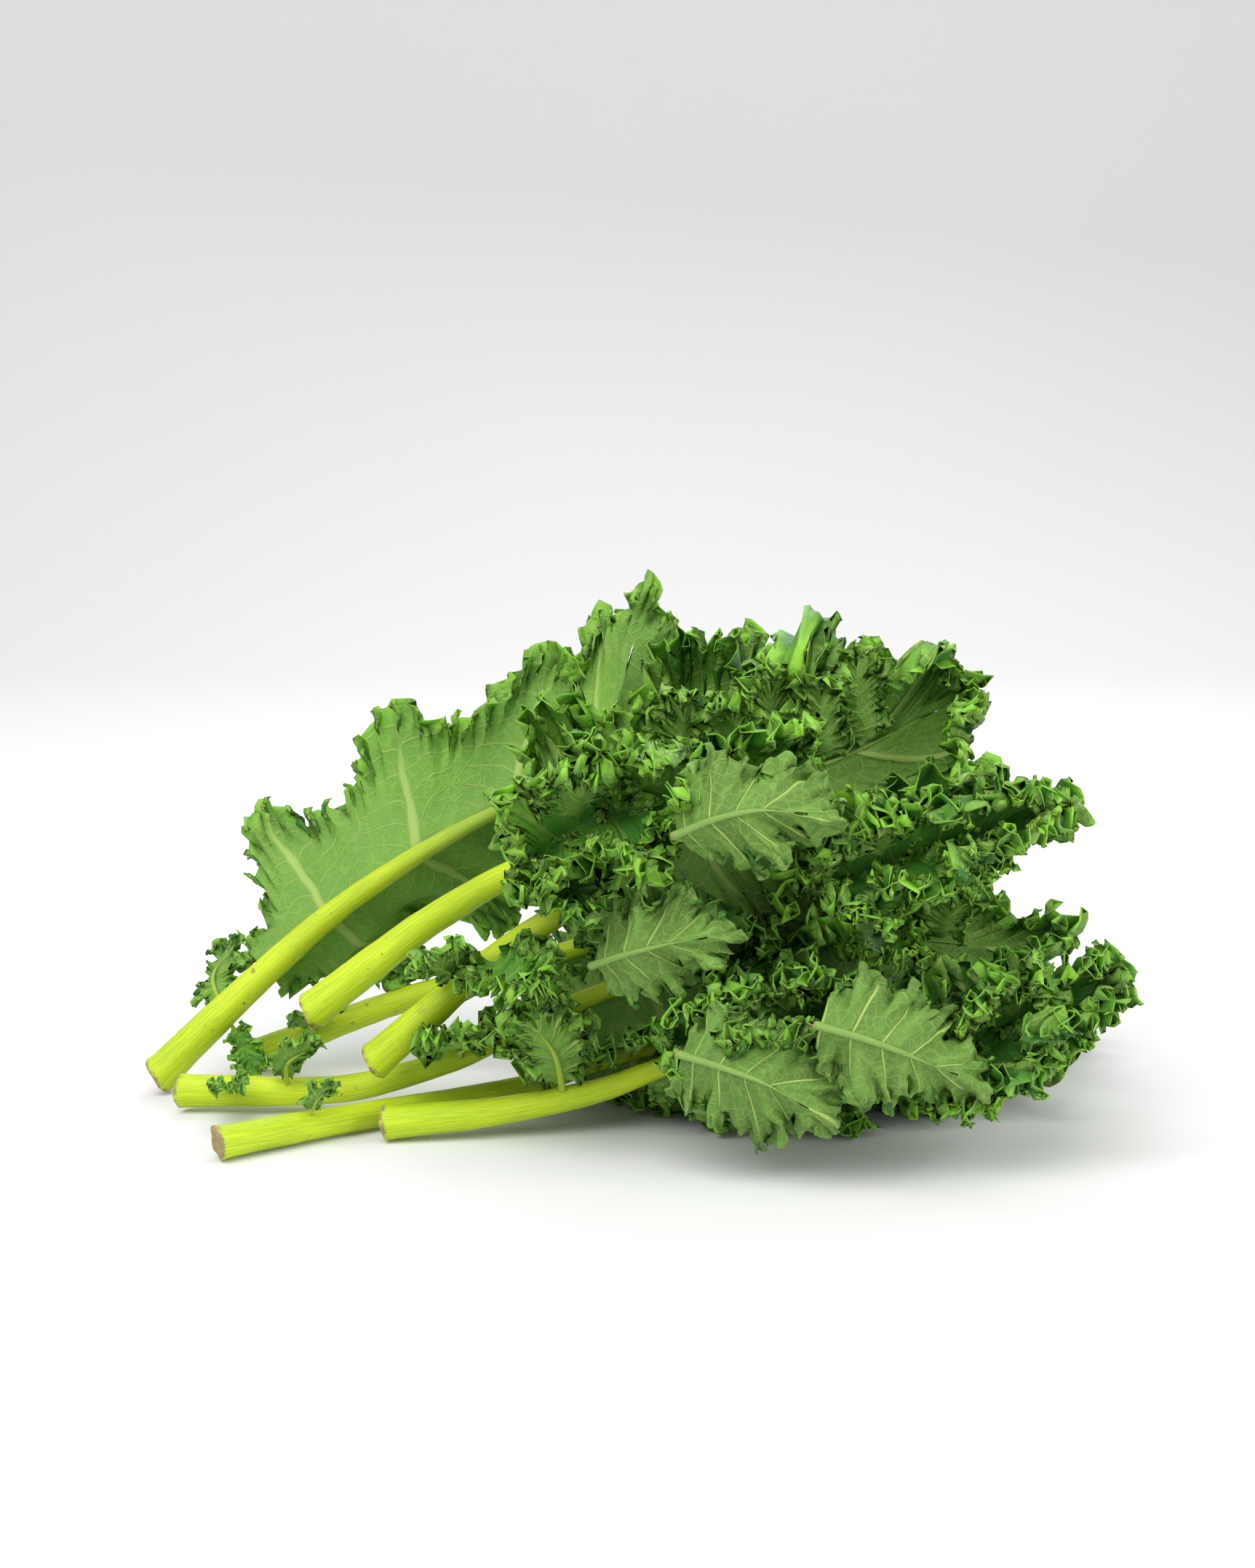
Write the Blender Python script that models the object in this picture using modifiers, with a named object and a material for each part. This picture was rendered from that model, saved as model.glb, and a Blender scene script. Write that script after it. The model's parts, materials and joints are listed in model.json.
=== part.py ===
"""A bunch of curly green kale, lying in a heap on a table with its cut stalks to one side.

Every leaf is a stalk, which runs on as the midrib, and a blade with a ruffled margin. A blade is a grid
primitive whose two coordinates are read as u, which runs round the margin from one foot of the blade over
the tip to the other foot, and t, which runs from the midrib out to the margin. The leaves are laid one
after the other, and each is pushed clear of the floor and of the leaves that already lie there. It keeps
its shape near the midrib and gives way farther out. The small side leaves grow on the stalks last.
X runs from the cut ends to the leaf tips, Y runs back, Z is up. The origin is under the heap's middle.
"""

import math
from typing import NamedTuple

import bmesh
import bpy
import numpy as np

MM = 0.001

BLADE_THICKNESS = 1.0
BLADE_COLUMNS = 48
BLADE_ROWS = 4
ROW_CROWDING = 1.3
LEAFLET_COLUMNS = 16
LEAFLET_ROWS = 2
MARGIN_WAVES = 16
SMALL_COLUMNS = 28
SMALL_WAVES = 9
LEAFLET_WAVES = 5

ROLL_SPREAD = 45.0
FOLD_SPREAD = 14.0

STALK_STATIONS = 15
STALK_GAP = 0.9
LEAFLET_FOOT = 1.6
STALK_END_SHARE = 0.95
TUBE_SIDES = 8

CELL = 2.0
HEAP_SPAN = 340.0
CLEARANCE = 2.4
FLOOR_CLEARANCE = 0.6
SOFTNESS = 5
PASSES = 3

FRONT_PUSH = (0.0, -0.95, 0.3)
BACK_PUSH = (0.0, 0.80, 0.60)

STALK_GREEN = (0.45, 0.56, 0.06, 1.0)
BLADE_GREEN = (0.06, 0.20, 0.03, 1.0)


class Leaflet(NamedTuple):
    """A small side leaf on the bare stretch of a stalk, in millimetres."""

    at: float  # share of the stalk's length where it grows
    towards: tuple
    length: float
    width: float
    seed: int
    lean: float = 0.5  # how much it leans towards the leaf's tip


class Leaf(NamedTuple):
    """One kale leaf: sizes in millimetres, angles in degrees."""

    name: str
    line: tuple  # the stalk's centre line, from the cut end to the tip
    face: tuple  # where the blade's upper face looks, at the cut end and at the tip
    seed: int
    reach: tuple = (58, 58)  # midrib to margin, on the minus and the plus side
    lobing: float = 0.22
    roll: tuple = (0, 0, 0)  # bend of a row at the minus foot, the tip and the plus foot
    fold: float = 32  # rise of each side from the midrib, like an open book
    blade_from: float = 0.40  # share of the length where the blade starts
    foot: float = 0.45  # how much of its reach the blade has at its foot
    stalk: tuple = (7.0, 1.3)  # radius at the cut end and at the tip
    ruffle: float = 9  # height of the margin's waves
    tip: float = 0.42  # how much of its reach the blade has ahead of the midrib's end
    waves: int = MARGIN_WAVES
    columns: int = BLADE_COLUMNS
    push: tuple = FRONT_PUSH  # the way it gives when something is in its place
    leaflets: tuple = ()


# The leaves in the order in which they are laid: from the floor up, round the back, the small ones last
LEAVES = (
    Leaf(
        "leaf_06",
        line=(
            (-166, -70, 8), (-115, -29, 8), (-67, 2, 9), (-20, 18, 14),
            (50, 28, 24), (120, 34, 34), (182, 36, 38),
        ),
        face=((0.0, 0.3, -0.95), (0.0, 0.4, -0.9)),
        seed=6,
        reach=(52, 56),
        roll=(-60, -140, 0),
        blade_from=0.46,
        push=(0.0, -0.3, 0.95),
        leaflets=(Leaflet(0.12, (0.0, -0.6, 0.8), 15, 6, 61, 1.0),),
    ),
    Leaf(
        "leaf_10",
        line=((0, 146, 7), (60, 144, 20), (120, 132, 27), (184, 112, 30)),
        face=((0.0, -0.35, -0.93), (0.0, -0.35, -0.93)),
        seed=10,
        reach=(50, 50),
        roll=(-60, -60, -60),
        blade_from=0.30,
        stalk=(6.0, 1.2),
        push=(0.0, 0.3, 0.95),
    ),
    Leaf(
        "leaf_02",
        line=(
            (-169, 77, 8), (-125, 73, 26), (-93, 69, 38), (-54, 64, 51),
            (0, 56, 70), (63, 50, 97), (130, 48, 118),
        ),
        face=((0.0, 0.80, -0.60), (0.0, 0.80, -0.60)),
        seed=2,
        reach=(50, 60),
        roll=(-20, -60, -60),
        push=(0.0, -0.1, 1.0),
        leaflets=(Leaflet(0.10, (0.0, -0.8, 0.3), 32, 9, 21, 1.5),),
    ),
    Leaf(
        "leaf_01",
        line=(
            (-206, 36, 8), (-156, 50, 56), (-108, 60, 93), (-68, 62, 117),
            (-37, 66, 131), (-20, 70, 146), (-8, 74, 164), (-2, 77, 182),
        ),
        face=((0.0, 0.95, -0.25), (-0.1, 0.95, 0.1)),
        seed=121,
        ruffle=4.5,
        tip=0.75,
        reach=(54, 61),
        lobing=0.16,
        roll=(-20, -20, -10),
        blade_from=0.24,
        stalk=(8.0, 1.3),
        push=(0.0, 0.7, 0.7),
        leaflets=(
            Leaflet(0.15, (-0.35, 0.7, 0.4), 28, 13, 11, 1.4),
            Leaflet(0.14, (0.2, -0.2, -0.9), 24, 8, 12, -0.6),
        ),
    ),
    Leaf(
        "leaf_07",
        line=(
            (-101, -40, 8), (-60, -36, 12), (-18, -31, 19), (24, -24, 31),
            (75, -14, 43), (118, -6, 46), (164, 4, 42),
        ),
        face=((0.0, 0.5, -0.85), (0.0, 0.6, -0.8)),
        seed=7,
        ruffle=8,
        reach=(44, 52),
        roll=(20, -120, -20),
        blade_from=0.40,
        push=(0.0, -0.5, 0.85),
        leaflets=(Leaflet(0.27, (0.0, -0.5, 0.85), 38, 19, 71, -0.4),),
    ),
    Leaf(
        "leaf_05",
        line=(
            (-191, 10, 7), (-132, 4, 10), (-99, 0, 18), (-73, -3, 27),
            (-47, -4, 40), (-10, 0, 54), (50, 2, 68), (110, 4, 76), (160, 6, 72),
        ),
        face=((0.0, 0.7, -0.7), (0.0, 0.7, -0.7)),
        seed=5,
        reach=(58, 58),
        roll=(-160, -150, 0),
        blade_from=0.40,
        push=(0.0, -0.7, 0.7),
        leaflets=(
            Leaflet(0.13, (0.0, -0.6, 0.7), 28, 8, 51, 1.6),
            Leaflet(0.34, (0.0, -0.95, 0.3), 36, 19, 52, 0.4),
            Leaflet(0.06, (0.0, -0.95, 0.2), 22, 8, 53, 0.5),
        ),
    ),
    Leaf(
        "leaf_04",
        line=(
            (-107, -16, 29), (-80, -16, 53), (-60, -15, 70), (-20, -12, 96),
            (31, -9, 113), (82, -6, 123), (124, -2, 123),
        ),
        face=((0.0, 0.85, -0.5), (0.0, 0.85, -0.5)),
        seed=4,
        ruffle=7.5,
        reach=(62, 58),
        roll=(-120, -150, 0),
        stalk=(7.6, 1.3),
        push=(0.0, -0.8, 0.6),
        leaflets=(
            Leaflet(0.19, (0.0, -0.85, 0.5), 27, 13, 41, -0.3),
            Leaflet(0.26, (0.0, -0.95, -0.2), 40, 20, 42, 0.5),
        ),
    ),
    Leaf(
        "leaf_03",
        line=(
            (-135, 2, 46), (-112, 2, 64), (-80, 0, 88), (-37, -4, 110),
            (20, -8, 132), (66, -8, 148), (96, -4, 159), (120, 2, 171),
        ),
        face=((0.0, 0.9, -0.4), (0.0, 0.85, -0.5)),
        seed=33,
        ruffle=6,
        fold=24,
        reach=(62, 90),
        roll=(-30, -210, -110),
        blade_from=0.36,
        stalk=(8.0, 1.3),
    ),
    Leaf(
        "leaf_08",
        line=((-30, 128, 12), (-14, 128, 56), (10, 124, 100), (34, 118, 138), (52, 112, 166)),
        face=((0.25, -0.90, -0.30), (0.25, -0.90, -0.30)),
        seed=28,
        ruffle=6,
        lobing=0.15,
        reach=(50, 50),
        roll=(-60, -60, -60),
        blade_from=0.30,
        stalk=(6.0, 1.2),
        push=BACK_PUSH,
    ),
    Leaf(
        "leaf_09",
        line=((-20, 156, 26), (40, 152, 56), (92, 146, 88), (146, 134, 112)),
        face=((0.1, -0.80, -0.55), (0.1, -0.80, -0.55)),
        seed=9,
        reach=(58, 58),
        roll=(-30, -60, -110),
        blade_from=0.30,
        stalk=(6.0, 1.2),
        push=BACK_PUSH,
    ),
    Leaf(
        "leaf_11",
        line=((-44, -26, 110), (-14, -32, 132), (26, -36, 144), (58, -36, 147)),
        face=((0.0, -0.9, 0.4), (0.2, -0.9, 0.4)),
        seed=14,
        reach=(40, 44),
        fold=52,
        roll=(-50, -50, -50),
        ruffle=5,
        blade_from=0.03,
        foot=0.8,
        stalk=(4.0, 1.2),
    ),
    Leaf(
        "leaf_12",
        line=((80, -66, 112), (106, -72, 124), (132, -72, 133), (154, -68, 139)),
        face=((0.1, -0.9, 0.35), (0.2, -0.9, 0.35)),
        seed=12,
        reach=(32, 32),
        fold=44,
        roll=(-50, -50, -50),
        ruffle=5,
        blade_from=0.03,
        foot=0.8,
        stalk=(2.6, 1.0),
        waves=SMALL_WAVES,
        columns=SMALL_COLUMNS,
    ),
    Leaf(
        "leaf_13",
        line=((14, -64, 46), (40, -70, 53), (70, -72, 58), (96, -68, 61)),
        face=((0.0, -0.9, 0.45), (0.1, -0.9, 0.45)),
        seed=13,
        reach=(26, 30),
        fold=50,
        roll=(-50, -50, -50),
        ruffle=5,
        blade_from=0.03,
        foot=0.8,
        stalk=(2.6, 1.0),
        waves=SMALL_WAVES,
        columns=SMALL_COLUMNS,
    ),
    Leaf(
        "leaf_14",
        line=((112, -70, 32), (136, -68, 46), (160, -60, 58), (180, -50, 68)),
        face=((0.1, -0.9, 0.35), (0.3, -0.9, 0.35)),
        seed=19,
        lobing=0.15,
        reach=(32, 34),
        fold=50,
        roll=(-50, -50, -50),
        ruffle=6,
        blade_from=0.03,
        foot=0.8,
        stalk=(2.6, 1.0),
        waves=SMALL_WAVES,
        columns=SMALL_COLUMNS,
    ),
    Leaf(
        "leaf_15",
        line=((18, -84, 48), (34, -90, 44), (50, -92, 38), (62, -92, 31)),
        face=((0.0, 0.95, -0.2), (0.1, 0.95, -0.1)),
        seed=25,
        reach=(29, 30),
        lobing=0.10,
        fold=24,
        tip=0.7,
        roll=(20, 30, 20),
        ruffle=3.5,
        blade_from=0.03,
        foot=0.8,
        stalk=(2.4, 1.0),
        waves=SMALL_WAVES,
        columns=SMALL_COLUMNS,
    ),
    Leaf(
        "leaf_16",
        line=((70, -84, 58), (88, -90, 54), (106, -90, 48), (122, -86, 41)),
        face=((0.0, 0.95, -0.2), (0.1, 0.95, -0.1)),
        seed=16,
        reach=(28, 30),
        lobing=0.10,
        fold=24,
        tip=0.7,
        roll=(20, 30, 20),
        ruffle=3.5,
        blade_from=0.03,
        foot=0.8,
        stalk=(2.4, 1.0),
        waves=SMALL_WAVES,
        columns=SMALL_COLUMNS,
    ),
    Leaf(
        "leaf_17",
        line=((16, -94, 138), (32, -102, 146), (48, -106, 150), (62, -106, 149)),
        face=((0.0, 0.95, -0.2), (0.1, 0.95, -0.1)),
        seed=37,
        reach=(27, 28),
        lobing=0.10,
        fold=24,
        tip=0.7,
        roll=(20, 30, 20),
        ruffle=3.5,
        blade_from=0.03,
        foot=0.8,
        stalk=(2.4, 1.0),
        waves=SMALL_WAVES,
        columns=SMALL_COLUMNS,
    ),
    Leaf(
        "leaf_18",
        line=((-16, -58, 78), (-2, -68, 84), (12, -72, 88), (24, -72, 90)),
        face=((0.0, 0.95, -0.2), (0.1, 0.95, -0.1)),
        seed=38,
        reach=(24, 26),
        lobing=0.10,
        fold=24,
        tip=0.7,
        roll=(20, 30, 20),
        ruffle=3.5,
        blade_from=0.03,
        foot=0.8,
        stalk=(2.4, 1.0),
        waves=SMALL_WAVES,
        columns=SMALL_COLUMNS,
    ),
)


def unit(vectors):
    return vectors / np.linalg.norm(vectors, axis=-1, keepdims=True)


def smooth_step(x):
    x = np.clip(x, 0.0, 1.0)
    return x * x * (3.0 - 2.0 * x)


def wobble(x, seed):
    """A smooth random curve between about -1 and 1: three sines with random phases."""
    phases = np.random.default_rng(seed).uniform(0.0, 2.0 * math.pi, 3)
    return (
        0.5 * np.sin(3.1 * x + phases[0])
        + 0.3 * np.sin(7.3 * x + phases[1])
        + 0.2 * np.sin(13.7 * x + phases[2])
    )


def smooth_curve(points, count=160):
    """Even stations along the Catmull-Rom curve through the points."""
    points = np.array(points, float)
    padded = np.vstack([2 * points[0] - points[1], points, 2 * points[-1] - points[-2]])
    x = np.linspace(0.0, 1.0, 24, endpoint=False)[:, None]
    spans = [
        0.5
        * (
            2 * b
            + (c - a) * x
            + (2 * a - 5 * b + 4 * c - d) * x**2
            + (3 * b - a - 3 * c + d) * x**3
        )
        for a, b, c, d in zip(padded, padded[1:], padded[2:], padded[3:])
    ]
    line = np.vstack([*spans, points[-1:]])
    along = np.concatenate([[0.0], np.cumsum(np.linalg.norm(np.diff(line, axis=0), axis=1))])
    even = np.linspace(0.0, along[-1], count)
    return np.stack([np.interp(even, along, line[:, k]) for k in range(3)], axis=1)


def along_curve(line, share):
    """Points of the curve at these shares of its length."""
    stations = np.linspace(0.0, 1.0, len(line))
    return np.stack([np.interp(share, stations, line[:, k]) for k in range(3)], axis=-1)


def stalk_radius(leaf, share):
    return leaf.stalk[1] + (leaf.stalk[0] - leaf.stalk[1]) * np.clip(1.0 - share, 0.0, 1.0) ** 1.1


def rib_frame(leaf, share):
    """Position, direction, upper-face normal and side direction of the midrib, on the stalk's upper side."""
    line = smooth_curve(leaf.line)
    tangents = unit(np.gradient(line, axis=0))
    centre = along_curve(line, share)
    ahead = unit(along_curve(tangents, share))
    wanted = along_curve(np.array(leaf.face, float), share)
    up = unit(wanted - (ahead * wanted).sum(axis=-1, keepdims=True) * ahead)
    lift = stalk_radius(leaf, share) + STALK_GAP + BLADE_THICKNESS / 2
    return centre + lift[..., None] * up, ahead, up, np.cross(ahead, up)


def blade_surface(leaf, u, t):
    """The blade's middle surface.

    A row starts on the midrib, at a share that falls from the tip (u = 0) to the blade's foot (u = -1 or 1),
    and leaves it at an angle that opens from straight ahead to square. It turns towards the upper face by
    the roll times t squared, so it curls most near the margin: its place is the mean of the directions up
    to t, times the way. The margin's waves stand across it and grow with t.
    """
    away = np.abs(u)
    sides = np.interp(u, (-0.3, 0.3), leaf.reach)
    turn = np.interp(u, (-1.0, 0.0, 1.0), leaf.roll)
    place, ahead, up, side = rib_frame(leaf, 1.0 - (1.0 - leaf.blade_from) * away)

    angle = np.radians(100.0) * away**0.75
    fold = np.radians(leaf.fold + FOLD_SPREAD * wobble(3.0 * u, leaf.seed + 70)) * smooth_step(3.5 * away)
    flat = np.cos(angle)[..., None] * ahead + (np.sign(u) * np.sin(angle))[..., None] * side
    out = np.cos(fold)[..., None] * flat + np.sin(fold)[..., None] * up
    normal = np.cos(fold)[..., None] * up - np.sin(fold)[..., None] * flat

    outline = leaf.tip + (1.04 - leaf.tip) * np.sin(math.pi * np.clip(away, 0.0, 1.0) ** 0.8) ** 0.8
    lobes = 1.0 + leaf.lobing * np.cos(9.0 * math.pi * away + leaf.seed) + 0.14 * wobble(4.0 * u, leaf.seed)
    foot = 1.0 - (1.0 - leaf.foot) * smooth_step((away - 0.82) / 0.18)
    reach = sides * outline * lobes * foot
    width = reach / sides
    bend = np.radians(turn + ROLL_SPREAD * wobble(3.0 * u, leaf.seed + 50)) * width

    turned = bend[..., None] * (t[..., None] * (np.arange(8) + 0.5) / 8) ** 2
    along = reach * t * np.cos(turned).mean(axis=-1)
    rise = reach * t * np.sin(turned).mean(axis=-1)
    tilt = (bend * t**2)[..., None]
    wave = np.sin(math.pi * leaf.waves * (u + 0.01 * wobble(9.0 * u, leaf.seed + 90)))
    strength = np.minimum(width, 1.0) * (0.3 + 0.7 * smooth_step(3.5 * away))
    height = leaf.ruffle * strength * (0.85 + 0.3 * wobble(6.0 * u, leaf.seed + 20)) * t**1.6 * wave
    across = np.cos(tilt) * normal - np.sin(tilt) * out
    return place + along[..., None] * out + rise[..., None] * normal + height[..., None] * across


def blade_grid(leaf, rows):
    row = 1.0 - (1.0 - np.linspace(0.0, 1.0, rows + 1)) ** ROW_CROWDING
    u, t = np.meshgrid(np.linspace(-1.0, 1.0, leaf.columns + 1), row, indexing="ij")
    return blade_surface(leaf, u, t)


def leaflet_blade(leaf, leaflet, centres, radii):
    """A leaflet is a small blade whose own rib starts at the stalk's skin and arches over."""
    root = along_curve(centres, np.array(leaflet.at / STALK_END_SHARE))
    radius = np.interp(leaflet.at / STALK_END_SHARE, np.linspace(0, 1, len(radii)), radii)
    ahead = unit(centres[-1] - centres[0])
    out = np.array(leaflet.towards, float)
    out = unit(out - (out @ ahead) * ahead)
    leant = unit(out + leaflet.lean * ahead)
    start = root + (radius + STALK_GAP + LEAFLET_FOOT) * out
    middle = start + 0.35 * leaflet.length * out + 0.15 * leaflet.length * leant
    tip = middle + 0.5 * leaflet.length * leant
    face = np.cross(out, ahead)
    return Leaf(
        f"{leaf.name}_leaflet_{leaflet.seed}",
        line=(start, middle, tip),
        stalk=(0.0, 0.0),
        face=(face, face),
        seed=leaflet.seed,
        reach=(leaflet.width, leaflet.width),
        fold=20,
        blade_from=0.0,
        foot=0.9,
        ruffle=3.0,
        waves=LEAFLET_WAVES,
        columns=LEAFLET_COLUMNS,
    )


def finer(grid, times):
    """The same surface with more points, straight between the grid's own."""
    for axis in (0, 1):
        old = np.arange(grid.shape[axis])
        new = np.linspace(0, old[-1], old[-1] * times + 1)
        low = np.minimum(new.astype(int), old[-1] - 1)
        part = (new - low).reshape((-1, 1, 1) if axis == 0 else (1, -1, 1))
        grid = np.take(grid, low, axis) * (1 - part) + np.take(grid, low + 1, axis) * part
    return grid


def tube_skin(centres, radii):
    """Rings of points on the skin of a tube, with the ring's station first."""
    ahead = unit(np.gradient(centres, axis=0))
    level = unit(np.cross(ahead, (0.0, 0.0, 1.0)))
    high = np.cross(level, ahead)
    turns = np.linspace(0.0, 2.0 * math.pi, 12, endpoint=False)[:, None]
    ring = np.cos(turns) * level[:, None] + np.sin(turns) * high[:, None]
    return centres[:, None] + radii[:, None, None] * ring


def heap_cell(points, push):
    """Where the points lie in the plane square to the push, in cells, and their height along the push."""
    across = points[..., 1] * push[2] - points[..., 2] * push[1]
    height = points[..., 1] * push[1] + points[..., 2] * push[2]
    return (points[..., 0] + HEAP_SPAN) / CELL, (across + HEAP_SPAN) / CELL, height


def widest(grid, cells):
    """Each cell takes the largest value within this many cells of it."""
    for axis in (0, 1):
        grid = np.max([np.roll(grid, step, axis) for step in range(-cells, cells + 1)], axis=0)
    return grid


def blurred(grid, cells):
    for axis in (0, 1):
        grid = np.mean([np.roll(grid, step, axis) for step in range(-cells, cells + 1)], axis=0)
    return grid


def blocked_heights(placed, push):
    """How high along the push each cell is taken, by the floor or by the leaves that lie there."""
    size = int(2 * HEAP_SPAN / CELL)
    across = (np.arange(size) + 0.5) * CELL - HEAP_SPAN
    floor = (across * push[1] + CELL * abs(push[1])) / push[2] + FLOOR_CLEARANCE
    blocked = np.tile(floor, (size, 1))
    if placed:
        column, row, height = heap_cell(np.vstack(placed), push)
        np.maximum.at(blocked, (column.astype(int), row.astype(int)), height + CLEARANCE)
    return widest(blocked, 1)


def push_field(points, blocked, push):
    """How far each cell has to move along the push for the points to clear what lies there."""
    column, row, height = heap_cell(points, push)
    column, row = column.astype(int), row.astype(int)
    need = np.zeros(blocked.shape)
    np.maximum.at(need, (column, row), blocked[column, row] - height)
    return blurred(blurred(widest(need, 2 * SOFTNESS), SOFTNESS), SOFTNESS)


def read_field(field, points, push):
    """The field's value at the points, read between its cells."""
    column, row, _ = heap_cell(points, push)
    column, row = column - 0.5, row - 0.5
    i, j = column.astype(int), row.astype(int)
    a, b = column - i, row - j
    near = field[i, j] * (1 - b) + field[i, j + 1] * b
    far = field[i + 1, j] * (1 - b) + field[i + 1, j + 1] * b
    return near * (1 - a) + far * a


def moved(points, anchors, stiff, field, push):
    """Points within the stiff distance of their anchor on the rib go where it goes.

    Points 14 mm farther out follow the field at their own place.
    """
    free = smooth_step((np.linalg.norm(points - anchors, axis=-1) - stiff) / 14.0)
    own, shared = read_field(field, points, push), read_field(field, anchors, push)
    return points + (free * own + (1.0 - free) * shared)[..., None] * np.array(push)


def leaf_pieces(leaf):
    """The leaf's stalk line and blade as grids of points, each with its anchors and stiffness."""
    share = np.linspace(0.0, STALK_END_SHARE, STALK_STATIONS)
    centres, radii = along_curve(smooth_curve(leaf.line), share), stalk_radius(leaf, share)
    rib = rib_frame(leaf, share)[0]
    blade = blade_grid(leaf, BLADE_ROWS)
    edge = np.repeat(blade[:, :1], BLADE_ROWS + 1, axis=1)
    return (centres[:, None], rib[:, None], 1000.0), (blade, edge, 18.0), radii


def leaf_samples(stalk, blade, radii):
    """Closely spaced points on the stalk's skin and on the blade, with their anchors and stiffness."""
    line, rib = (finer(np.hstack([grid, grid]), 8)[:, 0] for grid in stalk[:2])
    radius = np.interp(np.linspace(0, 1, len(line)), np.linspace(0, 1, len(radii)), radii)
    skin = tube_skin(line, radius)
    parts = [
        (skin, np.broadcast_to(rib[:, None], skin.shape), stalk[2]),
        (finer(blade[0], 6), finer(blade[1], 6), blade[2]),
    ]
    points = np.vstack([part[0].reshape(-1, 3) for part in parts])
    anchors = np.vstack([part[1].reshape(-1, 3) for part in parts])
    return points, anchors, np.concatenate([np.full(part[0][..., 0].size, part[2]) for part in parts])


def lay_leaves():
    """Lays each leaf in turn. Returns the grids of each leaf's pieces and the heap's origin."""
    placed, laid = [], {}
    for leaf in LEAVES:
        push = unit(np.array(leaf.push))
        stalk, blade, radii = leaf_pieces(leaf)
        points, anchors, stiff = leaf_samples(stalk, blade, radii)
        blocked = blocked_heights(placed, push)
        for _ in range(PASSES):
            field = push_field(points, blocked, push)
            points, anchors = (moved(grid, anchors, stiff, field, push) for grid in (points, anchors))
            stalk, blade = (
                (*(moved(grid, piece[1], piece[2], field, push) for grid in piece[:2]), piece[2])
                for piece in (stalk, blade)
            )
        placed.append(points)
        centres = stalk[0][:, 0]
        leaflets = {}
        for leaflet in leaf.leaflets:
            small = leaflet_blade(leaf, leaflet, centres, radii)
            leaflets[small.name] = blade_grid(small, LEAFLET_ROWS)
        laid[leaf.name] = (centres, radii, blade[0], leaflets)
    everything = np.vstack(placed)
    low, high = everything.min(axis=0), everything.max(axis=0)
    return laid, np.array([(low[0] + high[0]) / 2, (low[1] + high[1]) / 2, low[2]])


def material(name, colour, roughness):
    made = bpy.data.materials.new(name)
    made.use_nodes = True
    shader = made.node_tree.nodes["Principled BSDF"]
    shader.inputs["Base Color"].default_value = colour
    shader.inputs["Roughness"].default_value = roughness
    shader.inputs["Metallic"].default_value = 0.0
    made.diffuse_color = colour
    return made


def add_blade(name, grid, origin, collection, finish):
    """A grid primitive bent to the blade's surface, its midrib joined, and given its thickness."""
    columns, rows = grid.shape[0] - 1, grid.shape[1] - 1
    mesh = bpy.data.meshes.new(name)
    sheet = bmesh.new()
    bmesh.ops.create_grid(sheet, x_segments=columns, y_segments=rows, size=1.0)
    for vertex in sheet.verts:
        column = round((vertex.co.x + 1.0) / 2.0 * columns)
        row = round((vertex.co.y + 1.0) / 2.0 * rows)
        vertex.co = (grid[column, row] - origin) * MM
    bmesh.ops.remove_doubles(sheet, verts=sheet.verts, dist=0.01 * MM)
    bmesh.ops.triangulate(sheet, faces=sheet.faces)
    sheet.to_mesh(mesh)
    sheet.free()
    mesh.shade_smooth()
    blade = bpy.data.objects.new(name, mesh)
    collection.objects.link(blade)
    mesh.materials.append(finish)
    wall = blade.modifiers.new("Thickness", "SOLIDIFY")
    wall.thickness = BLADE_THICKNESS * MM
    wall.offset = 0.0


def add_stalk(name, centres, radii, origin, collection, finish):
    """A tapering tube along the stalk's line, closed at both ends."""
    curve = bpy.data.curves.new(name, "CURVE")
    curve.dimensions = "3D"
    curve.bevel_depth = 1.0 * MM
    curve.bevel_resolution = TUBE_SIDES // 2 - 2
    curve.use_fill_caps = True
    spline = curve.splines.new("POLY")
    spline.points.add(len(centres) - 1)
    for point, centre, radius in zip(spline.points, centres, radii):
        point.co = (*((centre - origin) * MM), 1.0)
        point.radius = radius
    stalk = bpy.data.objects.new(name, curve)
    collection.objects.link(stalk)
    curve.materials.append(finish)


def main():
    for old in list(bpy.data.objects):
        bpy.data.objects.remove(old)
    kale = bpy.data.collections.new("Kale bunch")
    bpy.context.scene.collection.children.link(kale)
    stalk_finish = material("Kale stalk", STALK_GREEN, 0.35)
    blade_finish = material("Kale blade", BLADE_GREEN, 0.55)
    laid, origin = lay_leaves()
    for leaf, (centres, radii, blade, leaflets) in laid.items():
        add_stalk(f"{leaf}_stalk", centres, radii, origin, kale, stalk_finish)
        add_blade(f"{leaf}_blade", blade, origin, kale, blade_finish)
        for name, grid in leaflets.items():
            add_blade(name, grid, origin, kale, blade_finish)


main()
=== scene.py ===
"""The looks of the curly kale bunch: frilled blades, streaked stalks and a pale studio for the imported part.

The leaves are laid by the same rule as in the part's source, so every piece lies where its solid lies. A
blade's frills, veins and thin skin are then worked out on a much finer grid. Lengths in the tables are in
millimetres and angles in degrees; Blender's own are metres.
"""

import functools
import json
import math
from typing import NamedTuple

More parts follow.
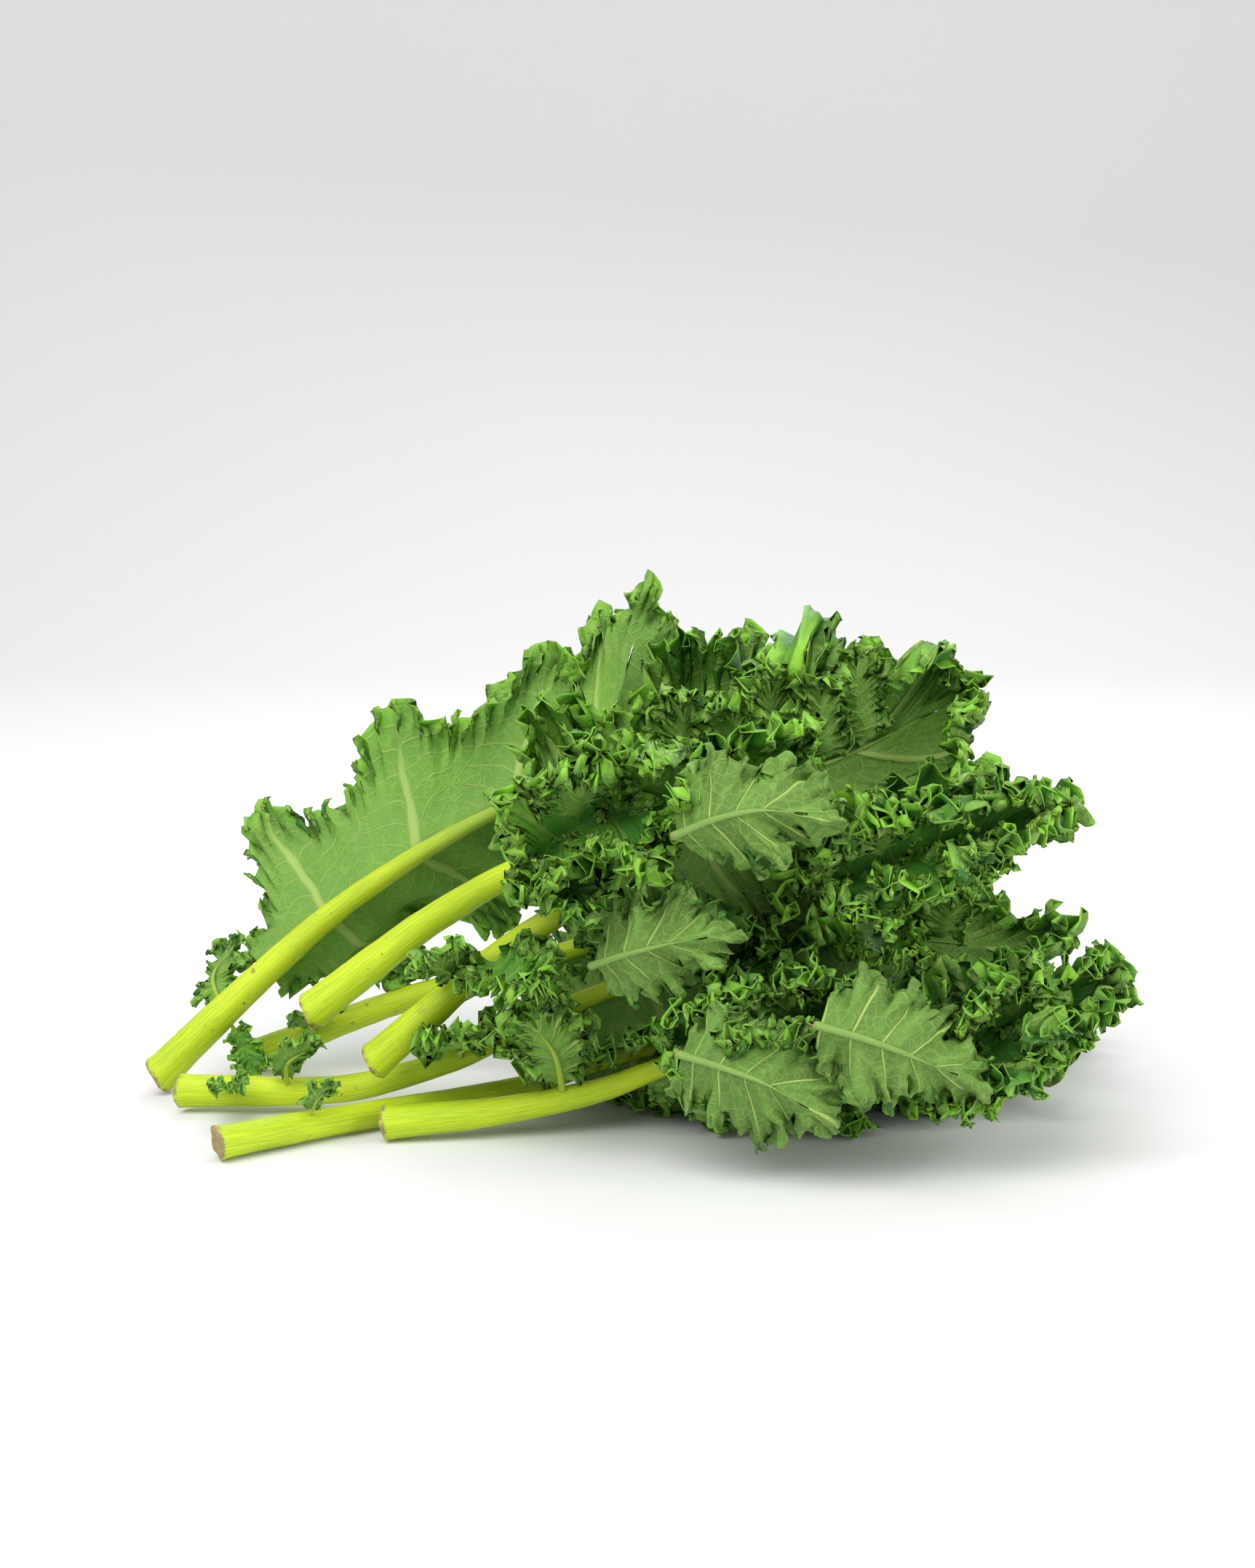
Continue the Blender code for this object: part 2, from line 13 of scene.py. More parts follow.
import bpy
import numpy as np
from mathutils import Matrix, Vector

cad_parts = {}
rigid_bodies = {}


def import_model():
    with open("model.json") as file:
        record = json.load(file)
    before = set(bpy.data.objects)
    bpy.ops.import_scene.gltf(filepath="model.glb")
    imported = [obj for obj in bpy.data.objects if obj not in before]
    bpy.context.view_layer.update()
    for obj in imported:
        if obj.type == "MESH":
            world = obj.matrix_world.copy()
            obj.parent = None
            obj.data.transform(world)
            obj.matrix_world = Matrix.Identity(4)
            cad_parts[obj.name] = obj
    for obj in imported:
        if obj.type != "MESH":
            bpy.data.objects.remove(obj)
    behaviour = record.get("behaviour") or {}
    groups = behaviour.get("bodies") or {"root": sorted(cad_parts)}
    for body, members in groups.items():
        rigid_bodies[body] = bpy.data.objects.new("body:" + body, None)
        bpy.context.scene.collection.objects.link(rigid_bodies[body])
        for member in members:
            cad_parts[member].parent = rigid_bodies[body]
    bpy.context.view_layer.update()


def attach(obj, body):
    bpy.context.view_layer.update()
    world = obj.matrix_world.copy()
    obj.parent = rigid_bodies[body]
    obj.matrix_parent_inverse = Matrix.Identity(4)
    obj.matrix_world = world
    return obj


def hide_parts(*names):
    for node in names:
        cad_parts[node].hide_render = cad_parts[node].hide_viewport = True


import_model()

bl_info = {
    "name": "Curly kale bunch",
    "version": (1, 0, 0),
    "blender": (4, 5, 0),
    "location": "View3D > Sidebar > Kale",
    "description": "Builds the looks of a heap of curly kale leaves round its packed part",
    "category": "Object",
}

MM = 0.001

BLADE_THICKNESS = 1.0
BLADE_COLUMNS = 48
BLADE_ROWS = 4
ROW_CROWDING = 1.3
MARGIN_WAVES = 16
SMALL_COLUMNS = 28
SMALL_WAVES = 9
LEAFLET_WAVES = 5

ROLL_SPREAD = 45.0
FOLD_SPREAD = 14.0

STALK_STATIONS = 15
STALK_GAP = 0.9
LEAFLET_FOOT = 1.6
STALK_END_SHARE = 0.95

CELL = 2.0
HEAP_SPAN = 340.0
CLEARANCE = 2.4
FLOOR_CLEARANCE = 0.6
SOFTNESS = 5
PASSES = 3
RIB_HOLD = 18.0  # a blade this near its rib goes where the rib goes
WHOLLY_STIFF = 1000.0

FRONT_PUSH = (0.0, -0.95, 0.3)
BACK_PUSH = (0.0, 0.80, 0.60)


class Leaflet(NamedTuple):
    """A small side leaf on the bare stretch of a stalk, in millimetres."""

    at: float  # share of the stalk's length where it grows
    towards: tuple
    length: float
    width: float
    seed: int
    lean: float = 0.5  # how much it leans towards the leaf's tip


class Leaf(NamedTuple):
    """One kale leaf: sizes in millimetres, angles in degrees."""

    name: str
    line: tuple  # the stalk's centre line, from the cut end to the tip
    face: tuple  # where the blade's upper face looks, at the cut end and at the tip
    seed: int
    reach: tuple = (58, 58)  # midrib to margin, on the minus and the plus side
    lobing: float = 0.22
    roll: tuple = (0, 0, 0)  # bend of a row at the minus foot, the tip and the plus foot
    fold: float = 32  # rise of each side from the midrib, like an open book
    blade_from: float = 0.40  # share of the length where the blade starts
    foot: float = 0.45  # how much of its reach the blade has at its foot
    stalk: tuple = (7.0, 1.3)  # radius at the cut end and at the tip
    ruffle: float = 9  # height of the margin's waves
    tip: float = 0.42  # how much of its reach the blade has ahead of the midrib's end
    waves: int = MARGIN_WAVES
    columns: int = BLADE_COLUMNS
    push: tuple = FRONT_PUSH  # the way it gives when something is in its place
    leaflets: tuple = ()


SMALL = {"blade_from": 0.03, "foot": 0.8, "waves": SMALL_WAVES, "columns": SMALL_COLUMNS}
SMALL_FACING = {"roll": (-50, -50, -50), "stalk": (2.6, 1.0), **SMALL}
SMALL_TURNED_OVER = {
    "face": ((0.0, 0.95, -0.2), (0.1, 0.95, -0.1)),
    "lobing": 0.10,
    "fold": 24,
    "tip": 0.7,
    "roll": (20, 30, 20),
    "ruffle": 3.5,
    "stalk": (2.4, 1.0),
    **SMALL,
}

# The leaves in the order in which they are laid: from the floor up, round the back, the small ones last
LEAVES = (
    Leaf(
        "leaf_06",
        line=(
            (-166, -70, 8), (-115, -29, 8), (-67, 2, 9), (-20, 18, 14),
            (50, 28, 24), (120, 34, 34), (182, 36, 38),
        ),
        face=((0.0, 0.3, -0.95), (0.0, 0.4, -0.9)),
        seed=6,
        reach=(52, 56),
        roll=(-60, -140, 0),
        blade_from=0.46,
        push=(0.0, -0.3, 0.95),
        leaflets=(Leaflet(0.12, (0.0, -0.6, 0.8), 15, 6, 61, 1.0),),
    ),
    Leaf(
        "leaf_10",
        line=((0, 146, 7), (60, 144, 20), (120, 132, 27), (184, 112, 30)),
        face=((0.0, -0.35, -0.93), (0.0, -0.35, -0.93)),
        seed=10,
        reach=(50, 50),
        roll=(-60, -60, -60),
        blade_from=0.30,
        stalk=(6.0, 1.2),
        push=(0.0, 0.3, 0.95),
    ),
    Leaf(
        "leaf_02",
        line=(
            (-169, 77, 8), (-125, 73, 26), (-93, 69, 38), (-54, 64, 51),
            (0, 56, 70), (63, 50, 97), (130, 48, 118),
        ),
        face=((0.0, 0.80, -0.60), (0.0, 0.80, -0.60)),
        seed=2,
        reach=(50, 60),
        roll=(-20, -60, -60),
        push=(0.0, -0.1, 1.0),
        leaflets=(Leaflet(0.10, (0.0, -0.8, 0.3), 32, 9, 21, 1.5),),
    ),
    Leaf(
        "leaf_01",
        line=(
            (-206, 36, 8), (-156, 50, 56), (-108, 60, 93), (-68, 62, 117),
            (-37, 66, 131), (-20, 70, 146), (-8, 74, 164), (-2, 77, 182),
        ),
        face=((0.0, 0.95, -0.25), (-0.1, 0.95, 0.1)),
        seed=121,
        ruffle=4.5,
        tip=0.75,
        reach=(54, 61),
        lobing=0.16,
        roll=(-20, -20, -10),
        blade_from=0.24,
        stalk=(8.0, 1.3),
        push=(0.0, 0.7, 0.7),
        leaflets=(
            Leaflet(0.15, (-0.35, 0.7, 0.4), 28, 13, 11, 1.4),
            Leaflet(0.14, (0.2, -0.2, -0.9), 24, 8, 12, -0.6),
        ),
    ),
    Leaf(
        "leaf_07",
        line=(
            (-101, -40, 8), (-60, -36, 12), (-18, -31, 19), (24, -24, 31),
            (75, -14, 43), (118, -6, 46), (164, 4, 42),
        ),
        face=((0.0, 0.5, -0.85), (0.0, 0.6, -0.8)),
        seed=7,
        ruffle=8,
        reach=(44, 52),
        roll=(20, -120, -20),
        blade_from=0.40,
        push=(0.0, -0.5, 0.85),
        leaflets=(Leaflet(0.27, (0.0, -0.5, 0.85), 38, 19, 71, -0.4),),
    ),
    Leaf(
        "leaf_05",
        line=(
            (-191, 10, 7), (-132, 4, 10), (-99, 0, 18), (-73, -3, 27),
            (-47, -4, 40), (-10, 0, 54), (50, 2, 68), (110, 4, 76), (160, 6, 72),
        ),
        face=((0.0, 0.7, -0.7), (0.0, 0.7, -0.7)),
        seed=5,
        reach=(58, 58),
        roll=(-160, -150, 0),
        blade_from=0.40,
        push=(0.0, -0.7, 0.7),
        leaflets=(
            Leaflet(0.13, (0.0, -0.6, 0.7), 28, 8, 51, 1.6),
            Leaflet(0.34, (0.0, -0.95, 0.3), 36, 19, 52, 0.4),
            Leaflet(0.06, (0.0, -0.95, 0.2), 22, 8, 53, 0.5),
        ),
    ),
    Leaf(
        "leaf_04",
        line=(
            (-107, -16, 29), (-80, -16, 53), (-60, -15, 70), (-20, -12, 96),
            (31, -9, 113), (82, -6, 123), (124, -2, 123),
        ),
        face=((0.0, 0.85, -0.5), (0.0, 0.85, -0.5)),
        seed=4,
        ruffle=7.5,
        reach=(62, 58),
        roll=(-120, -150, 0),
        stalk=(7.6, 1.3),
        push=(0.0, -0.8, 0.6),
        leaflets=(
            Leaflet(0.19, (0.0, -0.85, 0.5), 27, 13, 41, -0.3),
            Leaflet(0.26, (0.0, -0.95, -0.2), 40, 20, 42, 0.5),
        ),
    ),
    Leaf(
        "leaf_03",
        line=(
            (-135, 2, 46), (-112, 2, 64), (-80, 0, 88), (-37, -4, 110),
            (20, -8, 132), (66, -8, 148), (96, -4, 159), (120, 2, 171),
        ),
        face=((0.0, 0.9, -0.4), (0.0, 0.85, -0.5)),
        seed=33,
        ruffle=6,
        fold=24,
        reach=(62, 90),
        roll=(-30, -210, -110),
        blade_from=0.36,
        stalk=(8.0, 1.3),
    ),
    Leaf(
        "leaf_08",
        line=((-30, 128, 12), (-14, 128, 56), (10, 124, 100), (34, 118, 138), (52, 112, 166)),
        face=((0.25, -0.90, -0.30), (0.25, -0.90, -0.30)),
        seed=28,
        ruffle=6,
        lobing=0.15,
        reach=(50, 50),
        roll=(-60, -60, -60),
        blade_from=0.30,
        stalk=(6.0, 1.2),
        push=BACK_PUSH,
    ),
    Leaf(
        "leaf_09",
        line=((-20, 156, 26), (40, 152, 56), (92, 146, 88), (146, 134, 112)),
        face=((0.1, -0.80, -0.55), (0.1, -0.80, -0.55)),
        seed=9,
        reach=(58, 58),
        roll=(-30, -60, -110),
        blade_from=0.30,
        stalk=(6.0, 1.2),
        push=BACK_PUSH,
    ),
    Leaf(
        "leaf_11",
        line=((-44, -26, 110), (-14, -32, 132), (26, -36, 144), (58, -36, 147)),
        face=((0.0, -0.9, 0.4), (0.2, -0.9, 0.4)),
        seed=14,
        reach=(40, 44),
        fold=52,
        roll=(-50, -50, -50),
        ruffle=5,
        blade_from=0.03,
        foot=0.8,
        stalk=(4.0, 1.2),
    ),
    Leaf(
        "leaf_12",
        line=((80, -66, 112), (106, -72, 124), (132, -72, 133), (154, -68, 139)),
        face=((0.1, -0.9, 0.35), (0.2, -0.9, 0.35)),
        seed=12,
        reach=(32, 32),
        fold=44,
        ruffle=5,
        **SMALL_FACING,
    ),
    Leaf(
        "leaf_13",
        line=((14, -64, 46), (40, -70, 53), (70, -72, 58), (96, -68, 61)),
        face=((0.0, -0.9, 0.45), (0.1, -0.9, 0.45)),
        seed=13,
        reach=(26, 30),
        fold=50,
        ruffle=5,
        **SMALL_FACING,
    ),
    Leaf(
        "leaf_14",
        line=((112, -70, 32), (136, -68, 46), (160, -60, 58), (180, -50, 68)),
        face=((0.1, -0.9, 0.35), (0.3, -0.9, 0.35)),
        seed=19,
        lobing=0.15,
        reach=(32, 34),
        fold=50,
        ruffle=6,
        **SMALL_FACING,
    ),
    Leaf(
        "leaf_15",
        line=((18, -84, 48), (34, -90, 44), (50, -92, 38), (62, -92, 31)),
        seed=25,
        reach=(29, 30),
        **SMALL_TURNED_OVER,
    ),
    Leaf(
        "leaf_16",
        line=((70, -84, 58), (88, -90, 54), (106, -90, 48), (122, -86, 41)),
        seed=16,
        reach=(28, 30),
        **SMALL_TURNED_OVER,
    ),
    Leaf(
        "leaf_17",
        line=((16, -94, 138), (32, -102, 146), (48, -106, 150), (62, -106, 149)),
        seed=37,
        reach=(27, 28),
        **SMALL_TURNED_OVER,
    ),
    Leaf(
        "leaf_18",
        line=((-16, -58, 78), (-2, -68, 84), (12, -72, 88), (24, -72, 90)),
        seed=38,
        reach=(24, 26),
        **SMALL_TURNED_OVER,
    ),
)


def unit(vectors):
    return vectors / np.linalg.norm(vectors, axis=-1, keepdims=True)


def smooth_step(x):
    x = np.clip(x, 0.0, 1.0)
    return x * x * (3.0 - 2.0 * x)


def wobble(x, seed):
    """A smooth random curve between about -1 and 1: three sines with random phases."""
    phases = np.random.default_rng(seed).uniform(0.0, 2.0 * math.pi, 3)
    return (
        0.5 * np.sin(3.1 * x + phases[0])
        + 0.3 * np.sin(7.3 * x + phases[1])
        + 0.2 * np.sin(13.7 * x + phases[2])
    )


def smooth_curve(points, count=160):
    """Even stations along the Catmull-Rom curve through the points."""
    points = np.array(points, float)
    padded = np.vstack([2 * points[0] - points[1], points, 2 * points[-1] - points[-2]])
    x = np.linspace(0.0, 1.0, 24, endpoint=False)[:, None]
    spans = [
        0.5
        * (
            2 * b
            + (c - a) * x
            + (2 * a - 5 * b + 4 * c - d) * x**2
            + (3 * b - a - 3 * c + d) * x**3
        )
        for a, b, c, d in zip(padded, padded[1:], padded[2:], padded[3:])
    ]
    line = np.vstack([*spans, points[-1:]])
    along = np.concatenate([[0.0], np.cumsum(np.linalg.norm(np.diff(line, axis=0), axis=1))])
    even = np.linspace(0.0, along[-1], count)
    return np.stack([np.interp(even, along, line[:, k]) for k in range(3)], axis=1)


def along_curve(line, share):
    """Points of the curve at these shares of its length."""
    stations = np.linspace(0.0, 1.0, len(line))
    return np.stack([np.interp(share, stations, line[:, k]) for k in range(3)], axis=-1)


def stalk_radius(leaf, share):
    return leaf.stalk[1] + (leaf.stalk[0] - leaf.stalk[1]) * np.clip(1.0 - share, 0.0, 1.0) ** 1.1


def rib_frame(leaf, share):
    """Place, direction, upper-face normal and side direction of the midrib, on the stalk's upper side."""
    line = smooth_curve(leaf.line)
    tangents = unit(np.gradient(line, axis=0))
    centre = along_curve(line, share)
    ahead = unit(along_curve(tangents, share))
    wanted = along_curve(np.array(leaf.face, float), share)
    up = unit(wanted - (ahead * wanted).sum(axis=-1, keepdims=True) * ahead)
    lift = stalk_radius(leaf, share) + STALK_GAP + BLADE_THICKNESS / 2
    return centre + lift[..., None] * up, ahead, up, np.cross(ahead, up)


def blade_surface(leaf, u, t):
    """The blade's middle surface.

    A row starts on the midrib, at a share that falls from the tip, u = 0, to the blade's foot, u = -1 or 1.
    It leaves the midrib at an angle that opens from straight ahead to square. It turns towards the upper
    face by the roll times t squared, so it curls most near the margin: its place is the mean of the
    directions up to t, times the way. The margin's waves stand across it and grow with t.
    """
    away = np.abs(u)
    sides = np.interp(u, (-0.3, 0.3), leaf.reach)
    turn = np.interp(u, (-1.0, 0.0, 1.0), leaf.roll)
    place, ahead, up, side = rib_frame(leaf, 1.0 - (1.0 - leaf.blade_from) * away)

    angle = np.radians(100.0) * away**0.75
    fold = np.radians(leaf.fold + FOLD_SPREAD * wobble(3.0 * u, leaf.seed + 70)) * smooth_step(3.5 * away)
    flat = np.cos(angle)[..., None] * ahead + (np.sign(u) * np.sin(angle))[..., None] * side
    out = np.cos(fold)[..., None] * flat + np.sin(fold)[..., None] * up
    normal = np.cos(fold)[..., None] * up - np.sin(fold)[..., None] * flat

    outline = leaf.tip + (1.04 - leaf.tip) * np.sin(math.pi * np.clip(away, 0.0, 1.0) ** 0.8) ** 0.8
    lobes = 1.0 + leaf.lobing * np.cos(9.0 * math.pi * away + leaf.seed) + 0.14 * wobble(4.0 * u, leaf.seed)
    foot = 1.0 - (1.0 - leaf.foot) * smooth_step((away - 0.82) / 0.18)
    reach = sides * outline * lobes * foot
    width = reach / sides
    bend = np.radians(turn + ROLL_SPREAD * wobble(3.0 * u, leaf.seed + 50)) * width

    turned = bend[..., None] * (t[..., None] * (np.arange(8) + 0.5) / 8) ** 2
    along = reach * t * np.cos(turned).mean(axis=-1)
    rise = reach * t * np.sin(turned).mean(axis=-1)
    tilt = (bend * t**2)[..., None]
    wave = np.sin(math.pi * leaf.waves * (u + 0.01 * wobble(9.0 * u, leaf.seed + 90)))
    strength = np.minimum(width, 1.0) * (0.3 + 0.7 * smooth_step(3.5 * away))
    height = leaf.ruffle * strength * (0.85 + 0.3 * wobble(6.0 * u, leaf.seed + 20)) * t**1.6 * wave
    across = np.cos(tilt) * normal - np.sin(tilt) * out
    return place + along[..., None] * out + rise[..., None] * normal + height[..., None] * across


def blade_grid(leaf, rows):
    row = 1.0 - (1.0 - np.linspace(0.0, 1.0, rows + 1)) ** ROW_CROWDING
    u, t = np.meshgrid(np.linspace(-1.0, 1.0, leaf.columns + 1), row, indexing="ij")
    return blade_surface(leaf, u, t)


def leaflet_blade(leaf, leaflet, centres, radii):
    """A leaflet is a small blade whose own rib starts at the stalk's skin and arches over."""
    root = along_curve(centres, np.array(leaflet.at / STALK_END_SHARE))
    radius = np.interp(leaflet.at / STALK_END_SHARE, np.linspace(0, 1, len(radii)), radii)
    ahead = unit(centres[-1] - centres[0])
    out = np.array(leaflet.towards, float)
    out = unit(out - (out @ ahead) * ahead)
    leant = unit(out + leaflet.lean * ahead)
    start = root + (radius + STALK_GAP + LEAFLET_FOOT) * out
    middle = start + 0.35 * leaflet.length * out + 0.15 * leaflet.length * leant
    tip = middle + 0.5 * leaflet.length * leant
    face = np.cross(out, ahead)
    return Leaf(
        f"{leaf.name}_leaflet_{leaflet.seed}",
        line=(start, middle, tip),
        stalk=(0.0, 0.0),
        face=(face, face),
        seed=leaflet.seed,
        reach=(leaflet.width, leaflet.width),
        fold=20,
        blade_from=0.0,
        foot=0.9,
        ruffle=3.0,
        waves=LEAFLET_WAVES,
    )


def finer(grid, times):
    """The same surface with more points, straight between the grid's own."""
    for axis in (0, 1):
        old = np.arange(grid.shape[axis])
        new = np.linspace(0, old[-1], old[-1] * times + 1)
        low = np.minimum(new.astype(int), old[-1] - 1)
        part = (new - low).reshape((-1, 1, 1) if axis == 0 else (1, -1, 1))
        grid = np.take(grid, low, axis) * (1 - part) + np.take(grid, low + 1, axis) * part
    return grid


def tube_skin(centres, radii):
    """Rings of points on the skin of a tube, with the ring's station first."""
    ahead = unit(np.gradient(centres, axis=0))
    level = unit(np.cross(ahead, (0.0, 0.0, 1.0)))
    high = np.cross(level, ahead)
    turns = np.linspace(0.0, 2.0 * math.pi, 12, endpoint=False)[:, None]
    ring = np.cos(turns) * level[:, None] + np.sin(turns) * high[:, None]
    return centres[:, None] + radii[:, None, None] * ring


def heap_cell(points, push):
    """Where the points lie in the plane square to the push, in cells, and their height along the push."""
    across = points[..., 1] * push[2] - points[..., 2] * push[1]
    height = points[..., 1] * push[1] + points[..., 2] * push[2]
    return (points[..., 0] + HEAP_SPAN) / CELL, (across + HEAP_SPAN) / CELL, height


def widest(grid, cells):
    """Each cell takes the largest value within this many cells of it."""
    for axis in (0, 1):
        grid = np.max([np.roll(grid, step, axis) for step in range(-cells, cells + 1)], axis=0)
    return grid


def blurred(grid, cells):
    for axis in (0, 1):
        grid = np.mean([np.roll(grid, step, axis) for step in range(-cells, cells + 1)], axis=0)
    return grid


def blocked_heights(placed, push):
    """How high along the push each cell is taken, by the floor or by the leaves that lie there."""
    size = int(2 * HEAP_SPAN / CELL)
    across = (np.arange(size) + 0.5) * CELL - HEAP_SPAN
    floor = (across * push[1] + CELL * abs(push[1])) / push[2] + FLOOR_CLEARANCE
    blocked = np.tile(floor, (size, 1))
    if placed:
        column, row, height = heap_cell(np.vstack(placed), push)
        np.maximum.at(blocked, (column.astype(int), row.astype(int)), height + CLEARANCE)
    return widest(blocked, 1)


def push_field(points, blocked, push):
    """How far each cell has to move along the push for the points to clear what lies there."""
    column, row, height = heap_cell(points, push)
    column, row = column.astype(int), row.astype(int)
    need = np.zeros(blocked.shape)
    np.maximum.at(need, (column, row), blocked[column, row] - height)
    return blurred(blurred(widest(need, 2 * SOFTNESS), SOFTNESS), SOFTNESS)


def read_field(field, points, push):
    """The field's value at the points, read between its cells."""
    column, row, _ = heap_cell(points, push)
    column, row = column - 0.5, row - 0.5
    i, j = column.astype(int), row.astype(int)
    a, b = column - i, row - j
    near = field[i, j] * (1 - b) + field[i, j + 1] * b
    far = field[i + 1, j] * (1 - b) + field[i + 1, j + 1] * b
    return near * (1 - a) + far * a


def moved(points, anchors, stiff, field, push):
    """Points within the stiff distance of their anchor on the rib go where it goes.

    Points 14 mm farther out follow the field at their own place.
    """
    free = smooth_step((np.linalg.norm(points - anchors, axis=-1) - stiff) / 14.0)
    own, shared = read_field(field, points, push), read_field(field, anchors, push)
    return points + (free * own + (1.0 - free) * shared)[..., None] * np.array(push)


def leaf_pieces(leaf):
    """The leaf's stalk line and blade as grids of points, each with its anchors and stiffness."""
    share = np.linspace(0.0, STALK_END_SHARE, STALK_STATIONS)
    centres, radii = along_curve(smooth_curve(leaf.line), share), stalk_radius(leaf, share)
    rib = rib_frame(leaf, share)[0]
    blade = blade_grid(leaf, BLADE_ROWS)
    edge = np.repeat(blade[:, :1], BLADE_ROWS + 1, axis=1)
    return (centres[:, None], rib[:, None], WHOLLY_STIFF), (blade, edge, RIB_HOLD), radii


def leaf_samples(stalk, blade, radii):
    """Closely spaced points on the stalk's skin and on the blade, with their anchors and stiffness."""
    line, rib = (finer(np.hstack([grid, grid]), 8)[:, 0] for grid in stalk[:2])
    radius = np.interp(np.linspace(0, 1, len(line)), np.linspace(0, 1, len(radii)), radii)
    skin = tube_skin(line, radius)
    parts = [
        (skin, np.broadcast_to(rib[:, None], skin.shape), stalk[2]),
        (finer(blade[0], 6), finer(blade[1], 6), blade[2]),
    ]
    points = np.vstack([part[0].reshape(-1, 3) for part in parts])
    anchors = np.vstack([part[1].reshape(-1, 3) for part in parts])
    return points, anchors, np.concatenate([np.full(part[0][..., 0].size, part[2]) for part in parts])


def lay_leaves():
    """Lays each leaf in turn, as the part does, and keeps the fields that moved it.

    Returns the laid leaves by name, and the heap's origin.
    """
    placed, laid = [], {}
    for leaf in LEAVES:
        push = unit(np.array(leaf.push))
        stalk, blade, radii = leaf_pieces(leaf)
        points, anchors, stiff = leaf_samples(stalk, blade, radii)
        blocked = blocked_heights(placed, push)
        fields = []
        for _ in range(PASSES):
            fields.append(push_field(points, blocked, push))
            points, anchors = (moved(grid, anchors, stiff, fields[-1], push) for grid in (points, anchors))
            stalk = (*(moved(grid, stalk[1], stalk[2], fields[-1], push) for grid in stalk[:2]), stalk[2])
        placed.append(points)
        laid[leaf.name] = Laid(leaf, push, fields, stalk[0][:, 0], radii)
    everything = np.vstack(placed)
    low, high = everything.min(axis=0), everything.max(axis=0)
    return laid, np.array([(low[0] + high[0]) / 2, (low[1] + high[1]) / 2, low[2]])


class Laid(NamedTuple):
    """A leaf in its place in the heap."""

    leaf: Leaf
    push: np.ndarray
    fields: list
    centres: np.ndarray
    radii: np.ndarray


heap = functools.cache(lay_leaves)


# Frills

class Frill(NamedTuple):
    """One size of ruffle: its length along the margin, its height, and the share of t where it starts."""

    length: float
    height: float
    start: float
    overhang: float = 0.45  # how far a fold leans over, over its height


# The frills of most leaves, of the calm large one at the left, of the hood, of the small facing leaves, and
# of the turned-over ones
CURLY = (Frill(9.5, 7.0, 0.30), Frill(3.8, 3.0, 0.50))
CALM = (Frill(12.0, 6.4, 0.50), Frill(4.2, 3.0, 0.70))
HOODED = (Frill(9.5, 7.0, 0.22), Frill(3.8, 3.1, 0.40))
TIGHT = (Frill(8.5, 6.6, 0.14), Frill(3.4, 2.9, 0.34))
TURNED_OVER = (Frill(13.0, 4.2, 0.30, 0.3), Frill(4.6, 1.7, 0.62, 0.3))
FACING = ("leaf_11", "leaf_12", "leaf_13", "leaf_14")
FACING_AWAY = ("leaf_15", "leaf_16", "leaf_17", "leaf_18")
CURLED_IN = {"fold": 50, "roll": (45, 45, 45)}
CURLED_IN_REACH = 1.12
FRILLS = {
    "leaf_01": CALM,
    "leaf_03": HOODED,
    "leaf_08": TIGHT,
    **dict.fromkeys(FACING, TIGHT),
    **dict.fromkeys(FACING_AWAY, TURNED_OVER),
}
COLUMN_SHARES = {
    **dict.fromkeys(FACING, 0.75),
    **dict.fromkeys(FACING_AWAY, 0.4),
    "leaf_09": 0.8,
    "leaf_10": 0.8,
}
YOUTH = {
    "leaf_11": 0.35,
    "leaf_01": 0.2,
    "leaf_08": 0.15,
    "leaf_03": 0.15,
    **dict.fromkeys(FACING_AWAY, -0.7),
}
TUFT_YOUTH = 0.35
TUFT_ROWS = 8
TUFT_COLUMNS = 160

FRILL_SEED_STEP = 200
TONE_SEED_STEP = 400
FRINGE = 0.32  # how far the margin goes in and out, over a frill's height
FINE_CROWDING = 1.35  # rows lie closer towards the margin
MARGIN_SAMPLES = 1200
SINK_SHARE = 0.45  # how deep a blade's own rib lies in the stalk, over the stalk's radius
SINK_SPREAD = 10.0  # how far from its rib it is back in its own place
FLOOR_EASE = 1.1
SIDE_VEINS = 4.5  # on each side of the midrib
VEIN_WIDTH = 0.12  # of a vein at the midrib, over half the way between two veins
VEIN_NARROWING = 0.085  # how much narrower it is at the margin
GROOVE_SHARE = 0.3  # how deep a vein lies in the upper side, over its height on the underside
MARGIN_THINNING = 0.45  # how much thinner a blade is at its margin


class CurlRow(NamedTuple):
    """Small frilled lobes that grow from a leaf's midrib, two ways in turn, sizes in millimetres."""

    leaf: str
    first: float  # share of the stalk's length where the row starts
    last: float
    count: int
    length: tuple  # of the first and the last lobe
    width: float  # over the length
    rise: tuple  # how steeply one lobe and the next look up, over their way forward
    lean: float = 0.6


CURL_ROOT = -1.2  # a lobe's root lies this far inside the rib
CURL_ROWS = (
    CurlRow("leaf_11", 0.12, 0.74, 5, (33.0, 26.0), 0.62, (-0.75, 0.75)),
    CurlRow("leaf_12", 0.12, 0.74, 5, (24.0, 19.0), 0.62, (-0.75, 0.75)),
    CurlRow("leaf_13", 0.12, 0.74, 5, (22.5, 18.0), 0.62, (-0.75, 0.75)),
    CurlRow("leaf_14", 0.12, 0.74, 5, (25.5, 20.0), 0.62, (-0.75, 0.75)),
    CurlRow("leaf_03", 0.66, 0.92, 5, (43.0, 38.0), 0.42, (2.4, 1.3), 0.35),
    CurlRow("leaf_05", 0.66, 0.92, 4, (34.0, 28.0), 0.55, (-0.2, 0.9)),
)


